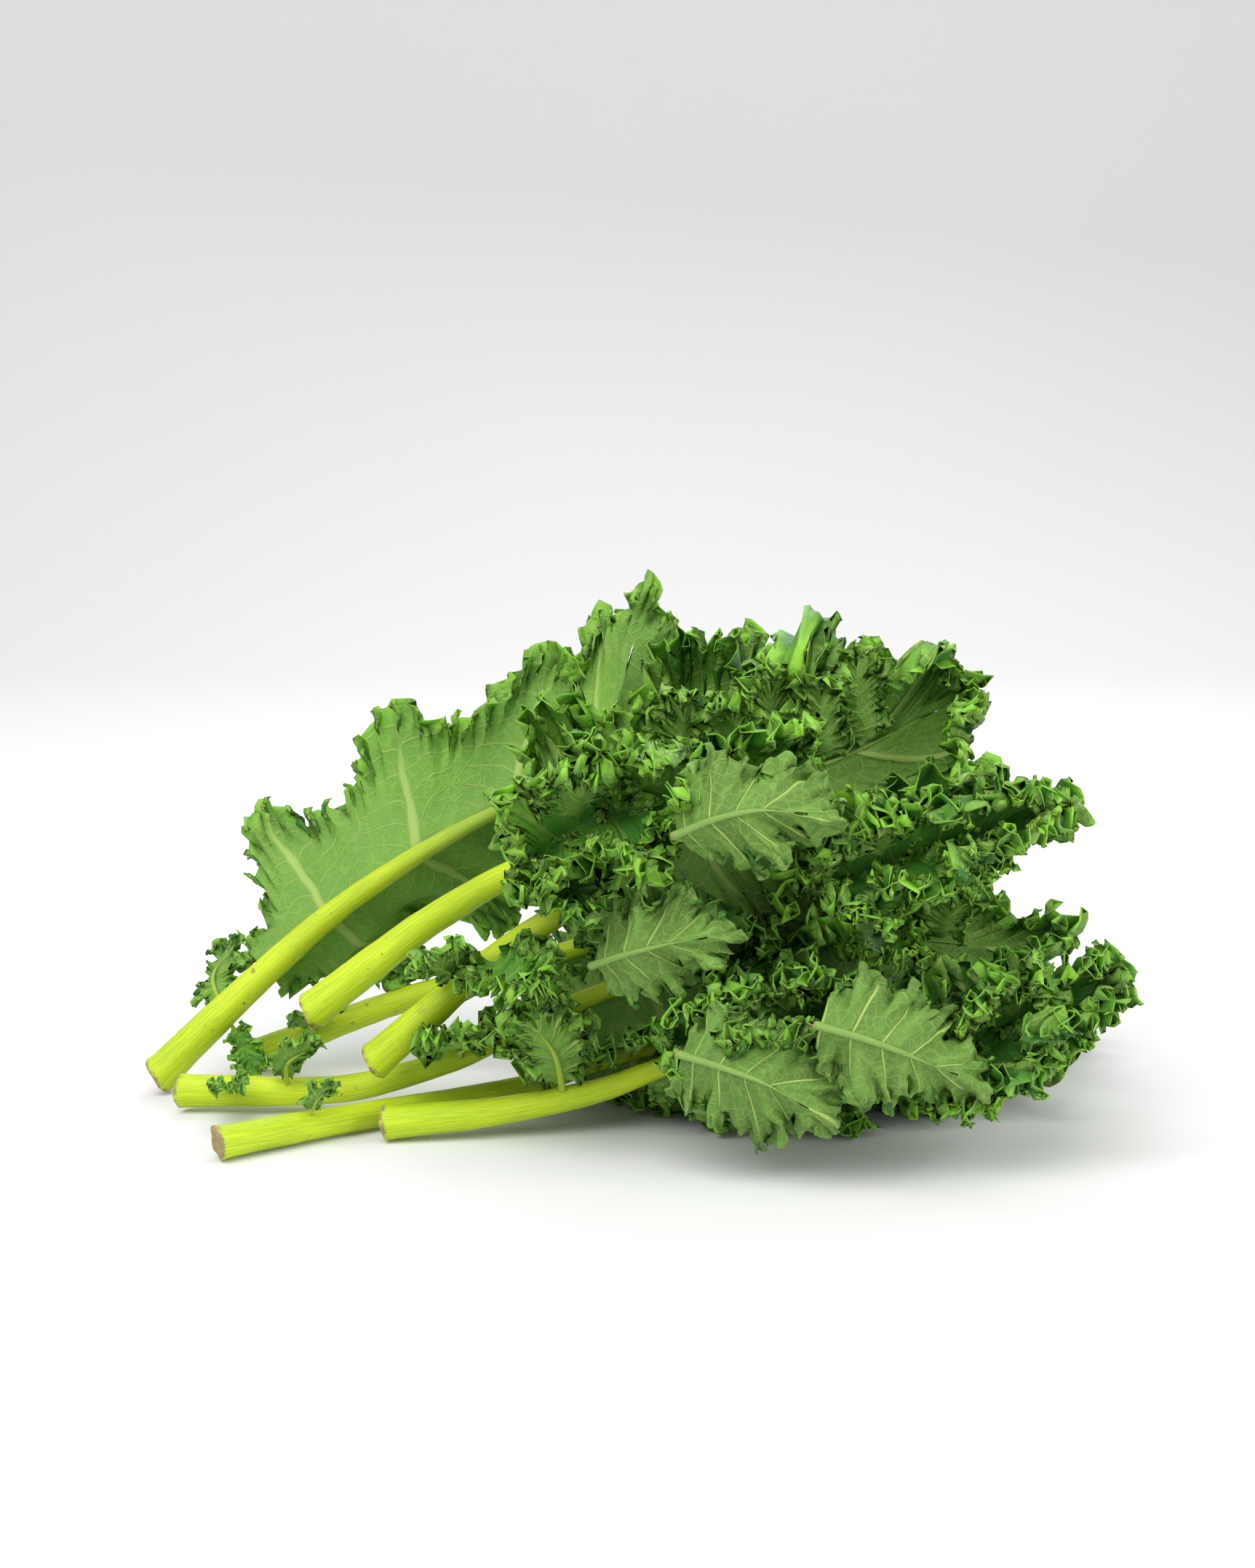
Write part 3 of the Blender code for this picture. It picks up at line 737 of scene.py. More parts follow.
def surface_axes(surface):
    """Unit vectors of a grid surface: round the margin, towards the margin, and its upper normal."""
    round_ = unit(np.gradient(surface, axis=0))
    out = np.gradient(surface, axis=1)
    out = unit(out - (out * round_).sum(axis=-1, keepdims=True) * round_)
    return round_, out, np.cross(round_, out)


def even_margin(leaf, columns):
    """Values of u that share out the margin evenly, the same on both halves, and the margin's length."""
    u = np.linspace(-1.0, 1.0, MARGIN_SAMPLES + 1)
    middle = MARGIN_SAMPLES // 2
    margin = blade_surface(leaf, u, np.ones_like(u))
    steps = np.linalg.norm(np.diff(margin, axis=0), axis=1)
    half = np.concatenate([[0.0], np.cumsum(0.5 * (steps[middle:] + steps[:middle][::-1]))])
    away = np.interp(np.linspace(0.0, half[-1], columns // 2 + 1), half, u[middle:])
    return np.concatenate([-away[:0:-1], away]), 2.0 * half[-1]


def frilled(surface, t, frills, seed, length):
    """Adds ruffles on ruffles.

    Each size stands on the surface that the one before it left. Its height is a sine of the way along the
    margin, its folds lean over by a sine of twice that, and both grow from nothing at the start to the
    margin. The sine's phase wanders along the margin and on the way out, so that no two folds are alike or
    straight. Returns the surface and its relief: how far a point stands up out of the folds, from -1 to 1.
    """
    relief = np.zeros(t.shape)
    way = np.linspace(-0.5, 0.5, surface.shape[0])[:, None] * length
    for number, frill in enumerate(frills):
        round_, out, normal = surface_axes(surface)
        growth = smooth_step((t - frill.start) / (1.0 - frill.start)) ** 1.3
        key = seed + FRILL_SEED_STEP * (number + 1)
        turns = way / frill.length
        bent = wobble(0.22 * turns, key + 2)
        phase = (
            2.0 * math.pi * turns
            + 1.2 * wobble(0.33 * turns + 1.7 * t, key)
            + (1.3 + 1.2 * bent) * np.sin((7.0 + 2.0 * bent) * t + key + 2.0 * bent)
        )
        height = frill.height * growth * (0.80 + 0.32 * wobble(0.4 * turns, key + 1))
        fringe = FRINGE * frill.height * growth * np.sin(0.5 * phase + key) * t**4
        surface = (
            surface
            + (height * np.sin(phase))[..., None] * normal
            + (frill.overhang * height * np.sin(2.0 * phase))[..., None] * round_
            + fringe[..., None] * out
        )
        relief += np.sin(phase) * growth / (number + 1)
    return surface, relief


def main_veins(leaf, u):
    """A count that is whole at each side vein and halfway between two: it follows the blade's lobes."""
    return SIDE_VEINS * np.abs(u) + leaf.seed / (2.0 * math.pi)


def fine_rows(rows):
    return 1.0 - (1.0 - np.linspace(0.0, 1.0, rows + 1)) ** FINE_CROWDING


def fine_blade(laid, columns, rows, frills):
    """The blade's middle surface on a fine grid, in its place in the heap, with its rib sunk in the stalk.

    The small leaves that face the front curl in over their midribs more than their plain solids do.
    """
    leaf = laid.leaf
    if leaf.name in FACING:
        leaf = leaf._replace(**CURLED_IN, reach=tuple(CURLED_IN_REACH * side for side in leaf.reach))
    around, length = even_margin(leaf, columns)
    u, t = np.meshgrid(around, fine_rows(rows), indexing="ij")
    surface = blade_surface(leaf, u, t)
    edge = surface[:, :1]
    for field in laid.fields:
        surface, edge = (moved(grid, edge, RIB_HOLD, field, laid.push) for grid in (surface, edge))
    share = 1.0 - (1.0 - leaf.blade_from) * np.abs(u[:, :1])
    up = rib_frame(leaf, share)[2]
    sink = STALK_GAP + BLADE_THICKNESS / 2 + SINK_SHARE * stalk_radius(leaf, share)
    near = 1.0 - smooth_step(np.linalg.norm(surface - edge, axis=-1) / SINK_SPREAD)
    surface = surface - (sink * near)[..., None] * up
    surface, relief = frilled(surface, t, frills, leaf.seed, length)
    return surface, u, t, relief


def above_floor(points, origin):
    """Eases low points up to just above the table, along a hyperbola.

    The new height is half the sum of the old one, z, and the root of z squared plus four times the ease
    squared.
    """
    low = points[..., 2] - origin[2]
    points = points.copy()
    points[..., 2] = origin[2] + 0.5 * (low + np.sqrt(low**2 + 4.0 * FLOOR_EASE**2))
    return points


def folded_sheet(surface):
    """Numbers the points of a blade's grid, with the two halves of its first row joined along the midrib.

    Returns the number of each grid point, the points that are left, and their places in the whole grid.
    """
    columns, rows = surface.shape[0], surface.shape[1]
    number = np.arange(columns * rows).reshape(columns, rows)
    half = columns // 2
    number[half + 1 :, 0] = number[:half, 0][::-1]
    kept, number = np.unique(number, return_inverse=True)
    return number.reshape(columns, rows), surface.reshape(-1, 3)[kept], kept


def quads_of(number):
    return np.stack([number[:-1, :-1], number[1:, :-1], number[1:, 1:], number[:-1, 1:]], -1).reshape(-1, 4)


def point_normals(points, quads):
    """Area-weighted mean of the normals of the faces round each point."""
    a, b, c, d = (points[quads[:, k]] for k in range(4))
    face = np.cross(c - a, d - b)
    total = np.stack(
        [
            sum(np.bincount(quads[:, k], face[:, axis], len(points)) for k in range(4))
            for axis in range(3)
        ],
        axis=1,
    )
    return total / np.maximum(np.linalg.norm(total, axis=1, keepdims=True), 1e-12)


def blade_shell(surface, upper, under):
    """A closed thin skin: the surface moved both ways along its normal, and a rim round its open edge.

    Returns its points, its faces, the side of each face, and each point's place in the whole grid.
    """
    number, points, kept = folded_sheet(surface)
    quads = quads_of(number)
    normal = point_normals(points, quads)
    upper, under = (
        np.broadcast_to(height, surface.shape[:2]).reshape(-1)[kept, None] for height in (upper, under)
    )
    count = len(points)
    loop = np.concatenate([number[0, :-1], number[:-1, -1], number[-1, :0:-1]])
    after = np.roll(loop, -1)
    rim = np.stack([loop, after, after + count, loop + count], axis=1)
    every = np.vstack([quads, quads[:, ::-1] + count, rim])
    side = np.repeat([0, 1, 1], [len(quads), len(quads), len(rim)])
    both = np.vstack([points + upper * normal, points - under * normal])
    return both, every, side, np.concatenate([kept, kept])


def make_mesh(name, points, quads, origin, collection, pairs=None, side=None, values=None):
    """A mesh piece from arrays of points in millimetres and faces, joined to the frame's own body.

    The pairs of numbers become the UV map, and each named array of values an attribute of the points. A
    number under zero in a face's row leaves that corner out.
    """
    mesh = bpy.data.meshes.new(name)
    mesh.vertices.add(len(points))
    mesh.vertices.foreach_set("co", ((points - origin) * MM).astype(np.float32).ravel())
    sizes = np.count_nonzero(quads >= 0, axis=1)
    mesh.loops.add(int(sizes.sum()))
    mesh.loops.foreach_set("vertex_index", quads[quads >= 0].astype(np.int32))
    mesh.polygons.add(len(quads))
    mesh.polygons.foreach_set("loop_start", (np.cumsum(sizes) - sizes).astype(np.int32))
    if side is not None:
        mesh.polygons.foreach_set("material_index", side.astype(np.int32))
    mesh.update(calc_edges=True)
    mesh.shade_smooth()
    if pairs is not None:
        layer = mesh.uv_layers.new(name="growth")
        layer.uv.foreach_set("vector", pairs[quads[quads >= 0]].astype(np.float32).ravel())
    for key, value in (values or {}).items():
        kind = "FLOAT" if value.ndim == 1 else "FLOAT_VECTOR"
        layer = mesh.attributes.new(key, kind, "POINT")
        layer.data.foreach_set("value" if value.ndim == 1 else "vector", value.astype(np.float32).ravel())
    piece = bpy.data.objects.new(name, mesh)
    collection.objects.link(piece)
    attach(piece, "root")
    return piece


def blade_piece(name, grids, leaf, youth, thickness, vein_height, origin, collection):
    """One blade as a closed skin, with its veins raised on the underside and sunk a little on the upper."""
    surface, u, t, relief = grids
    vein = main_veins(leaf, u)
    off = np.abs((vein + 0.5) % 1.0 - 0.5) * 2.0
    width = VEIN_WIDTH - VEIN_NARROWING * t
    ridge = np.exp(-((off / width) ** 2)) * (1.0 - t) ** 0.8 * smooth_step(8.0 * t + 0.2)
    surface = above_floor(surface, origin)
    edge_thin = 1.0 - MARGIN_THINNING * smooth_step((t - 0.7) / 0.3)
    half = 0.5 * thickness * edge_thin
    upper, under = half - GROOVE_SHARE * vein_height * ridge, half + vein_height * ridge
    points, faces, side, kept = blade_shell(surface, upper, under)
    pairs = np.stack([vein, t], axis=-1).reshape(-1, 2)[kept]
    key = leaf.seed + TONE_SEED_STEP
    broad, fine = wobble(5.0 * u, key), wobble(23.0 * u + 3.0 * t, key + 1)
    tone = np.broadcast_to(youth + 0.25 * broad + 0.12 * fine, u.shape).reshape(-1)[kept]
    # Fold heights, negated on the underside: from these the blade material paints light on the crests and
    # shade in the valleys
    folds = relief.reshape(-1)[kept] * np.repeat([1.0, -1.0], len(kept) // 2)
    return make_mesh(name, points, faces, origin, collection, pairs, side, {"youth": tone, "relief": folds})


# Stalks

GROOVE_DEPTH = 0.13  # over the radius, as are the ribs and the slant
GROOVE_SPREAD = 0.55  # radians round the stalk
RIB_HEIGHTS = (0.012, 0.010)
CUT_SWELL = 0.07
CUT_SLANT = 0.32
CUT_RINGS = (0.0, 0.25, 0.5, 0.72, 0.86, 0.94)  # radii of the rings on the cut end, over the profile
MIDRIB_START = 0.62  # share of the stalk from which it thins towards its tip
MIDRIB_THINNING = 0.75
SMALL_STALK = 3.0  # up to this radius it gets the smaller grid of rings and sides
STALK_GRID = (110, 20)
SMALL_STALK_GRID = (50, 12)
BURIED_STALK = 0.7  # thickness of a small leaf's stalk, over its solid's
STEM_STATIONS = 17
STEM_RADII = (0.045, 0.02)  # over the leaflet's length
STEM_GRID = (40, 10)
STEM_START = 20.0  # far enough from a cut end to have none of its colour


def fine_tube(centres, radii, rings, sides, up):
    """A profile carried along a path.

    The profile is a circle with a shallow groove on the side that the blade grows from and a few low ribs.
    The path is the smooth curve through the stalk's stations. At the cut end the profile swells a little,
    the cut is slanted, and rings of falling radius close it; at the tip the skin runs in to one point.
    Returns the points, the faces, each point's way along the path, and its place for the streaks.
    """
    line = smooth_curve(centres, rings)
    share = np.linspace(0.0, 1.0, rings)
    radius = np.interp(share, np.linspace(0.0, 1.0, len(radii)), radii)
    radius = radius * (1.0 - MIDRIB_THINNING * smooth_step((share - MIDRIB_START) / (1.0 - MIDRIB_START)))
    ahead = unit(np.gradient(line, axis=0))
    high = unit(up - (ahead * up).sum(axis=-1, keepdims=True) * ahead)
    across = np.cross(ahead, high)
    turn = np.linspace(0.0, 2.0 * math.pi, sides, endpoint=False)
    length = share * np.linalg.norm(np.diff(line, axis=0), axis=1).sum()
    groove = GROOVE_DEPTH * np.exp(-((np.angle(np.exp(1j * turn)) / GROOVE_SPREAD) ** 2))
    ribs = RIB_HEIGHTS[0] * np.cos(9.0 * turn + 1.0) + RIB_HEIGHTS[1] * np.cos(5.0 * turn + 2.0)
    profile = 1.0 - groove + ribs
    swell = 1.0 + CUT_SWELL * np.exp(-((length / 5.0) ** 2)) + 0.03 * wobble(length / 26.0, len(centres))
    spread = (radius * swell)[:, None] * profile
    ring = np.cos(turn)[:, None] * high[:, None] + np.sin(turn)[:, None] * across[:, None]
    skin = line[:, None] + spread[..., None] * ring
    slant = CUT_SLANT * radius[0] * np.cos(turn - 0.8) + 0.05 * radius[0] * np.cos(4.0 * turn)
    skin = skin + (np.exp(-length / 4.0)[:, None] * slant)[..., None] * ahead[:, None]
    inward = np.array(CUT_RINGS)
    dish = 0.10 * radius[0] * np.cos(math.pi * np.clip(inward * 1.1, 0, 1)) - 0.02 * radius[0]
    middle = skin[0].mean(axis=0)
    hollow = (dish * (1 - inward**6))[:, None, None] * ahead[0]
    face = middle + inward[:, None, None] * (skin[0] - middle) + hollow
    end = line[-1] + ahead[-1] * radius[-1] * 0.8
    rows = np.concatenate([face, skin, np.broadcast_to(end, (1, sides, 3))])
    place = np.concatenate([-radius[0] * (1.0 - inward), length, length[-1:]])
    grain = np.stack(np.broadcast_arrays(np.cos(turn), np.sin(turn), 0.02 * place[:, None]), -1)
    number = np.arange(rows.shape[0] * sides).reshape(rows.shape[:2])
    number[0, :], number[-1, :] = number[0, 0], number[-1, 0]
    kept, number = np.unique(number, return_inverse=True)
    number = number.reshape(rows.shape[:2])
    number = np.hstack([number, number[:, :1]])
    quads = quads_of(number)[:, [0, 3, 2, 1]]
    quads[quads[:, 0] == quads[:, 1], 1] = -1
    quads[quads[:, 2] == quads[:, 3], 3] = -1
    flat = np.broadcast_to(place[:, None], rows.shape[:2]).reshape(-1)[kept]
    return rows.reshape(-1, 3)[kept], quads, flat, grain.reshape(-1, 3)[kept]


# Materials

class Value:
    """A socket of a material's nodes, so that shader maths is written as Python maths."""

    def __init__(self, shader, socket):
        self.shader, self.socket = shader, socket

    def maths(self, operation, first, second):
        return self.shader.node("ShaderNodeMath", {"operation": operation}, {0: first, 1: second})

    def __add__(self, other):
        return self.maths("ADD", self, other)

    __radd__ = __add__

    def __sub__(self, other):
        return self.maths("SUBTRACT", self, other)

    def __rsub__(self, other):
        return self.maths("SUBTRACT", other, self)

    def __mul__(self, other):
        return self.maths("MULTIPLY", self, other)

    __rmul__ = __mul__

    def __truediv__(self, other):
        return self.maths("DIVIDE", self, other)

    def __abs__(self):
        return self.maths("ABSOLUTE", self, 0.0)

    def larger(self, other):
        return self.maths("MAXIMUM", self, other)

    def from_whole(self):
        """Twice the distance to the nearest whole number: 0 on it and 1 halfway to the next."""
        return abs(self.maths("FRACT", self + 0.5, 0.0) - 0.5) * 2.0

    def step(self, low, high, at_low=0.0, at_high=1.0):
        """Smoothly from one value to the other between two limits."""
        return self.shader.node(
            "ShaderNodeMapRange",
            {"interpolation_type": "SMOOTHSTEP"},
            {0: self, 1: low, 2: high, 3: at_low, 4: at_high},
        )


class Shader:
    """A material with one Principled shader, and short ways to add nodes to it."""

    def __init__(self, name):
        self.material = bpy.data.materials.new(name)
        self.material.use_nodes = True
        self.tree = self.material.node_tree
        self.surface = self.tree.nodes["Principled BSDF"]

    def node(self, kind, settings=None, inputs=None, output=0):
        """Adds a node, makes its settings, then links or fills its sockets. Returns one of its outputs."""
        made = self.tree.nodes.new(kind)
        for key, value in (settings or {}).items():
            setattr(made, key, value)
        for key, value in (inputs or {}).items():
            self.feed(made.inputs[key], value)
        return Value(self, made.outputs[output])

    def feed(self, socket, value):
        if isinstance(value, Value):
            self.tree.links.new(value.socket, socket)
        else:
            socket.default_value = value

    def mix(self, factor, first, second):
        """Colours mixed by a factor: 0 gives the first."""
        return self.node("ShaderNodeMix", {"data_type": "RGBA"}, {0: factor, 6: first, 7: second}, 2)

    def noise(self, place, scale, detail=2.0):
        return self.node("ShaderNodeTexNoise", {}, {"Vector": place, "Scale": scale, "Detail": detail})

    def coordinates(self):
        return self.node("ShaderNodeTexCoord", output="Object")

    def attribute(self, name, output):
        return self.node("ShaderNodeAttribute", {"attribute_name": name}, output=output)

    def finish(self, **sockets):
        for name, value in sockets.items():
            self.feed(self.surface.inputs[name.replace("_", " ")], value)
        return self.material

    def bump(self, height, distance, strength=1.0):
        settings = {"Strength": strength, "Distance": distance, "Height": height}
        return self.node("ShaderNodeBump", {}, settings)


def shade_of(colour, factor):
    return (*(min(1.0, part * factor) for part in colour[:3]), 1.0)


def blade_material(name, base, young_and_lit, vein, under):
    """Leaf skin: side veins at whole numbers of the growth map, herringbone veins between them, a fine net.

    The colour goes from the base green to the young green with the youth attribute and towards the margin,
    where it is partly the margin's own yellower green and partly a painted rim highlight; it goes there too
    on the crests of the folds as painted light. In the valleys of the folds it darkens as painted shade, and
    a leaf with negative youth darkens to the same dark green. On the veins it goes to the vein colour. The
    underside is paler and duller and its veins stand out.
    """
    shade = Shader(name)
    place = shade.coordinates()
    growth = shade.node("ShaderNodeUVMap", {"uv_map": "growth"})
    parts = shade.node("ShaderNodeSeparateXYZ", {}, {0: growth})
    count, t = parts, Value(shade, parts.socket.node.outputs[1])
    wander = shade.noise(place, 55.0) - 0.5
    off = (count + wander * 0.10).from_whole()
    width = 0.15 - t * 0.11
    main = (off / width).step(0.3, 1.0, 1.0, 0.0) * t.step(0.5, 0.95, 1.0, 0.2)
    side = (t * 6.0 - off * 2.4 + wander * 0.9).from_whole().step(0.03, 0.16, 1.0, 0.0) * t.step(0.03, 0.12)
    net = shade.node(
        "ShaderNodeTexVoronoi", {"feature": "DISTANCE_TO_EDGE"}, {"Vector": place, "Scale": 210.0}
    ).step(0.0, 0.11, 1.0, 0.0)
    broad = shade.noise(place, 21.0, 3.0)
    fine = shade.noise(place, 160.0, 2.0)
    youth = shade.attribute("youth", "Fac")
    relief = shade.attribute("relief", "Fac")
    # Towards the margin the blade goes to the young green: partly the margin's own yellower green, partly a
    # painted rim highlight
    rim = t.step(0.86, 1.0)
    # Mix towards the young green: the leaf's youth and random tone, the margin with its painted rim
    # highlight, and painted light on the fold crests, where relief is high
    young_tone_and_painted_light = (
        youth + rim * 0.70 + relief.step(-0.2, 1.3) * 0.55 + (broad - 0.5) * 1.1 + (fine - 0.5) * 0.35
    ).step(0.05, 1.15)
    # Painted shade: darker green in the fold valleys, where relief is low; a leaf with negative youth also
    # goes to this dark green
    painted_shade_and_dark_leaves = relief.step(-1.2, 0.15, 0.75, 0.0).larger(youth.step(-0.9, -0.3, 0.5, 0.0))
    green = shade.mix(painted_shade_and_dark_leaves, shade.mix(young_tone_and_painted_light, base, young_and_lit), shade_of(base, 0.3))
    veins = main.larger(side * (0.55 if under else 0.30)).larger(net * (0.30 if under else 0.16))
    strength = 0.9 if under else 0.42
    colour = shade.mix(veins * strength, green, vein)
    height = veins * (0.55 if under else -0.75) + fine * 0.3 + shade.noise(place, 75.0) * 0.7
    return shade.finish(
        Base_Color=colour,
        Roughness=(fine - 0.5) * 0.25 + (0.60 if under else 0.47),
        Specular_IOR_Level=0.2 if under else 0.3,
        Subsurface_Weight=0.18,
        Subsurface_Radius=(0.4, 1.0, 0.12),
        Subsurface_Scale=0.0018,
        Normal=shade.bump(height, 0.0013, 0.8),
    )


def stalk_material(name, base, shade_green, cut, rib_green):
    """Stalk skin: fine streaks along it, broad changes of green, a few brown specks, and a tan cut end.

    Where the stalk runs on as the midrib its colour goes over to the rib green.
    """
    shade = Shader(name)
    place = shade.coordinates()
    grain = shade.attribute("grain", "Vector")
    stretch = {0: grain, 1: (9.0, 9.0, 2.0)}
    stretched = shade.node("ShaderNodeVectorMath", {"operation": "MULTIPLY"}, stretch)
    streaks = shade.noise(stretched, 1.6, 4.0)
    fine_streaks = shade.noise(stretched, 5.0, 3.0)
    broad = shade.noise(place, 16.0, 2.0)
    specks = shade.noise(place, 260.0, 1.0).step(0.71, 0.75) * broad.step(0.45, 0.62)
    scars = shade.noise(place, 48.0, 3.0).step(0.66, 0.72)
    along = shade.attribute("along", "Fac")
    rib = shade.attribute("rib", "Fac")
    rough = shade.noise(place, 420.0, 3.0)
    end = (along + (rough - 0.5) * 5.0 + (broad - 0.5) * 3.0).step(-0.4, 1.6, 1.0, 0.0)
    tint = ((streaks - 0.5) * 1.6 + (broad - 0.5) * 1.2 + 0.45).step(0.0, 1.0)
    green = shade.mix(tint, shade_green, base)
    pale = shade.mix(fine_streaks.step(0.55, 0.75) * 0.35, green, shade_of(base, 1.5))
    marked = shade.mix(specks.larger(scars * 0.35) * 0.7, pale, shade_of(cut, 0.55))
    pith = shade.mix(rough.step(0.35, 0.65), shade_of(cut, 0.7), cut)
    colour = shade.mix(end, shade.mix(rib, marked, rib_green), pith)
    height = fine_streaks * 0.5 + streaks * 0.5 + end * (rough * 2.5 - 1.0)
    return shade.finish(
        Base_Color=colour,
        Roughness=end * 0.4 + (fine_streaks - 0.5) * 0.2 + 0.34,
        Specular_IOR_Level=0.3,
        Subsurface_Weight=0.15,
        Subsurface_Radius=(0.8, 1.0, 0.2),
        Subsurface_Scale=0.003,
        Normal=shade.bump(height, 0.0004, 0.7),
    )


# Settings

def colour_setting(name, description, default):
    return bpy.props.FloatVectorProperty(
        name=name, description=description, subtype="COLOR", size=4, min=0.0, max=1.0, default=default
    )


class KaleBladeSettings(bpy.types.PropertyGroup):
    """Sizes and colours of the blades."""

    thickness: bpy.props.FloatProperty(
        name="Thickness", description="Thickness of a blade away from its margin", default=0.55 * MM,
        subtype="DISTANCE", unit="LENGTH",
    )
    vein_height: bpy.props.FloatProperty(
        name="Vein height", description="How far the side veins stand out on the underside",
        default=0.7 * MM, subtype="DISTANCE", unit="LENGTH",
    )
    frill_scale: bpy.props.FloatProperty(
        name="Frill scale", description="Height of all frills over their usual height", default=1.0,
        subtype="FACTOR",
    )
    columns: bpy.props.IntProperty(
        name="Columns", description="Grid points round a blade's margin", default=840
    )
    rows: bpy.props.IntProperty(
        name="Rows", description="Grid points from the midrib to the margin", default=14
    )
    upper: colour_setting("Upper green", "Colour of the upper side", (0.050, 0.205, 0.022, 1.0))
    under: colour_setting("Under green", "Colour of the underside", (0.160, 0.325, 0.056, 1.0))
    # The young green is also the colour of the painted highlights on blade margins and fold crests
    young_and_lit: colour_setting("Young green", "Colour of young parts and the margin", (0.27, 0.60, 0.045, 1.0))
    vein: colour_setting("Vein", "Colour of the veins", (0.36, 0.50, 0.13, 1.0))


class KaleStalkSettings(bpy.types.PropertyGroup):
    """Colours of the stalks."""

    base: colour_setting("Light green", "Main colour of the stalks", (0.66, 0.80, 0.022, 1.0))
    shade: colour_setting("Deep green", "Colour of the deeper streaks", (0.36, 0.53, 0.014, 1.0))
    cut: colour_setting("Cut end", "Colour of the dry cut ends", (0.42, 0.33, 0.14, 1.0))
    rib: colour_setting("Midrib", "Colour of a stalk that runs on as the midrib", (0.24, 0.40, 0.09, 1.0))


class KaleStageSettings(bpy.types.PropertyGroup):
    """The floor, the camera and the lights."""

    floor: colour_setting("Floor", "Colour of the floor and the backdrop", (0.79, 0.79, 0.79, 1.0))
    distance: bpy.props.FloatProperty(
        name="Camera distance", description="From the camera to the middle of the heap", default=1.27,
        subtype="DISTANCE", unit="LENGTH",
    )
    pitch: bpy.props.FloatProperty(
        name="Camera pitch", description="How far the camera looks down", default=math.radians(9.0),
        subtype="ANGLE", unit="ROTATION",
    )
    key_power: bpy.props.FloatProperty(
        name="Key light", description="Power of the large light", default=29.0,
        subtype="POWER", unit="POWER",
    )
    sky: bpy.props.FloatProperty(
        name="Sky", description="Strength of the even light from all round", default=0.60
    )


# Operators

def blade_materials():
    """The two finishes of a blade, upper side first, made once."""
    known = bpy.data.materials.get("Kale upper skin"), bpy.data.materials.get("Kale underside")
    if all(known):
        return known
    look = bpy.context.scene.kale_blades
    dull_vein = shade_of(look.vein, 0.6)
    upper = blade_material("Kale upper skin", tuple(look.upper), tuple(look.young_and_lit), dull_vein, False)
    # The underside's young green also colours the painted highlights on its margins and fold crests
    young_and_lit_under = shade_of([0.5 * (a + b) for a, b in zip(look.young_and_lit, look.under)], 1.0)
    under = blade_material("Kale underside", tuple(look.under), young_and_lit_under, tuple(look.vein), True)
    return upper, under


def stalk_finish():
    look = bpy.context.scene.kale_stalks
    return bpy.data.materials.get("Kale stalk skin") or stalk_material(
        "Kale stalk skin", tuple(look.base), tuple(look.shade), tuple(look.cut), tuple(look.rib)
    )


def finish_blade(piece):
    for finish in blade_materials():
        piece.data.materials.append(finish)


def scaled(frills, factor):
    return [frill._replace(height=frill.height * factor) for frill in frills]


class KALE_OT_blades(bpy.types.Operator):
    """Lays a thin frilled blade over each blade solid"""

    bl_idname = "kale.blades"
    bl_label = "Blades"

    def execute(self, context):
        laid_leaves, origin = heap()
        look = context.scene.kale_blades
        for name, laid in laid_leaves.items():
            frills = scaled(FRILLS.get(name, CURLY), look.frill_scale)
            columns = 2 * int(0.5 * look.columns * COLUMN_SHARES.get(name, 1.0))
            grids = fine_blade(laid, columns, look.rows, frills)
            piece = blade_piece(
                f"{name}_frilled_blade", grids, laid.leaf, YOUTH.get(name, 0.0),
                look.thickness / MM, look.vein_height / MM, origin, context.scene.collection,
            )
            finish_blade(piece)
            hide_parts(f"{name}_blade")
        return {"FINISHED"}


def tuft_piece(name, leaf, width, look, origin):
    """A small blade, frilled nearly from its midrib, with folds as high as suits its width."""
    around, length = even_margin(leaf, TUFT_COLUMNS)
    u, t = np.meshgrid(around, fine_rows(TUFT_ROWS), indexing="ij")
    frills = (Frill(6.5, 0.34 * width, 0.15), Frill(2.7, 0.14 * width, 0.4))
    surface, relief = frilled(blade_surface(leaf, u, t), t, frills, leaf.seed, length)
    piece = blade_piece(
        name, (surface, u, t, relief), leaf, TUFT_YOUTH,
        look.thickness / MM, 0.4 * look.vein_height / MM, origin, bpy.context.scene.collection,
    )
    finish_blade(piece)
    return piece


class KALE_OT_curls(bpy.types.Operator):
    """Fills the hollows of the front leaves with curls that grow from their midribs"""

    bl_idname = "kale.curls"
    bl_label = "Curls"

    def execute(self, context):
        laid_leaves, origin = heap()
        look = context.scene.kale_blades
        for row in CURL_ROWS:
            laid = laid_leaves[row.leaf]
            places = np.linspace(row.first, row.last, row.count)
            lengths = np.linspace(*row.length, row.count)
            for number, (at, length) in enumerate(zip(places, lengths)):
                towards = (0.0, -1.0, row.rise[number % 2])
                seed = 10 * laid.leaf.seed + number
                curl = Leaflet(at, towards, length, row.width * length, seed, row.lean)
                leaf = leaflet_blade(laid.leaf, curl, laid.centres, np.full_like(laid.radii, CURL_ROOT))
                tuft_piece(f"{row.leaf}_curl_{number + 1}", leaf, curl.width, look, origin)
        return {"FINISHED"}


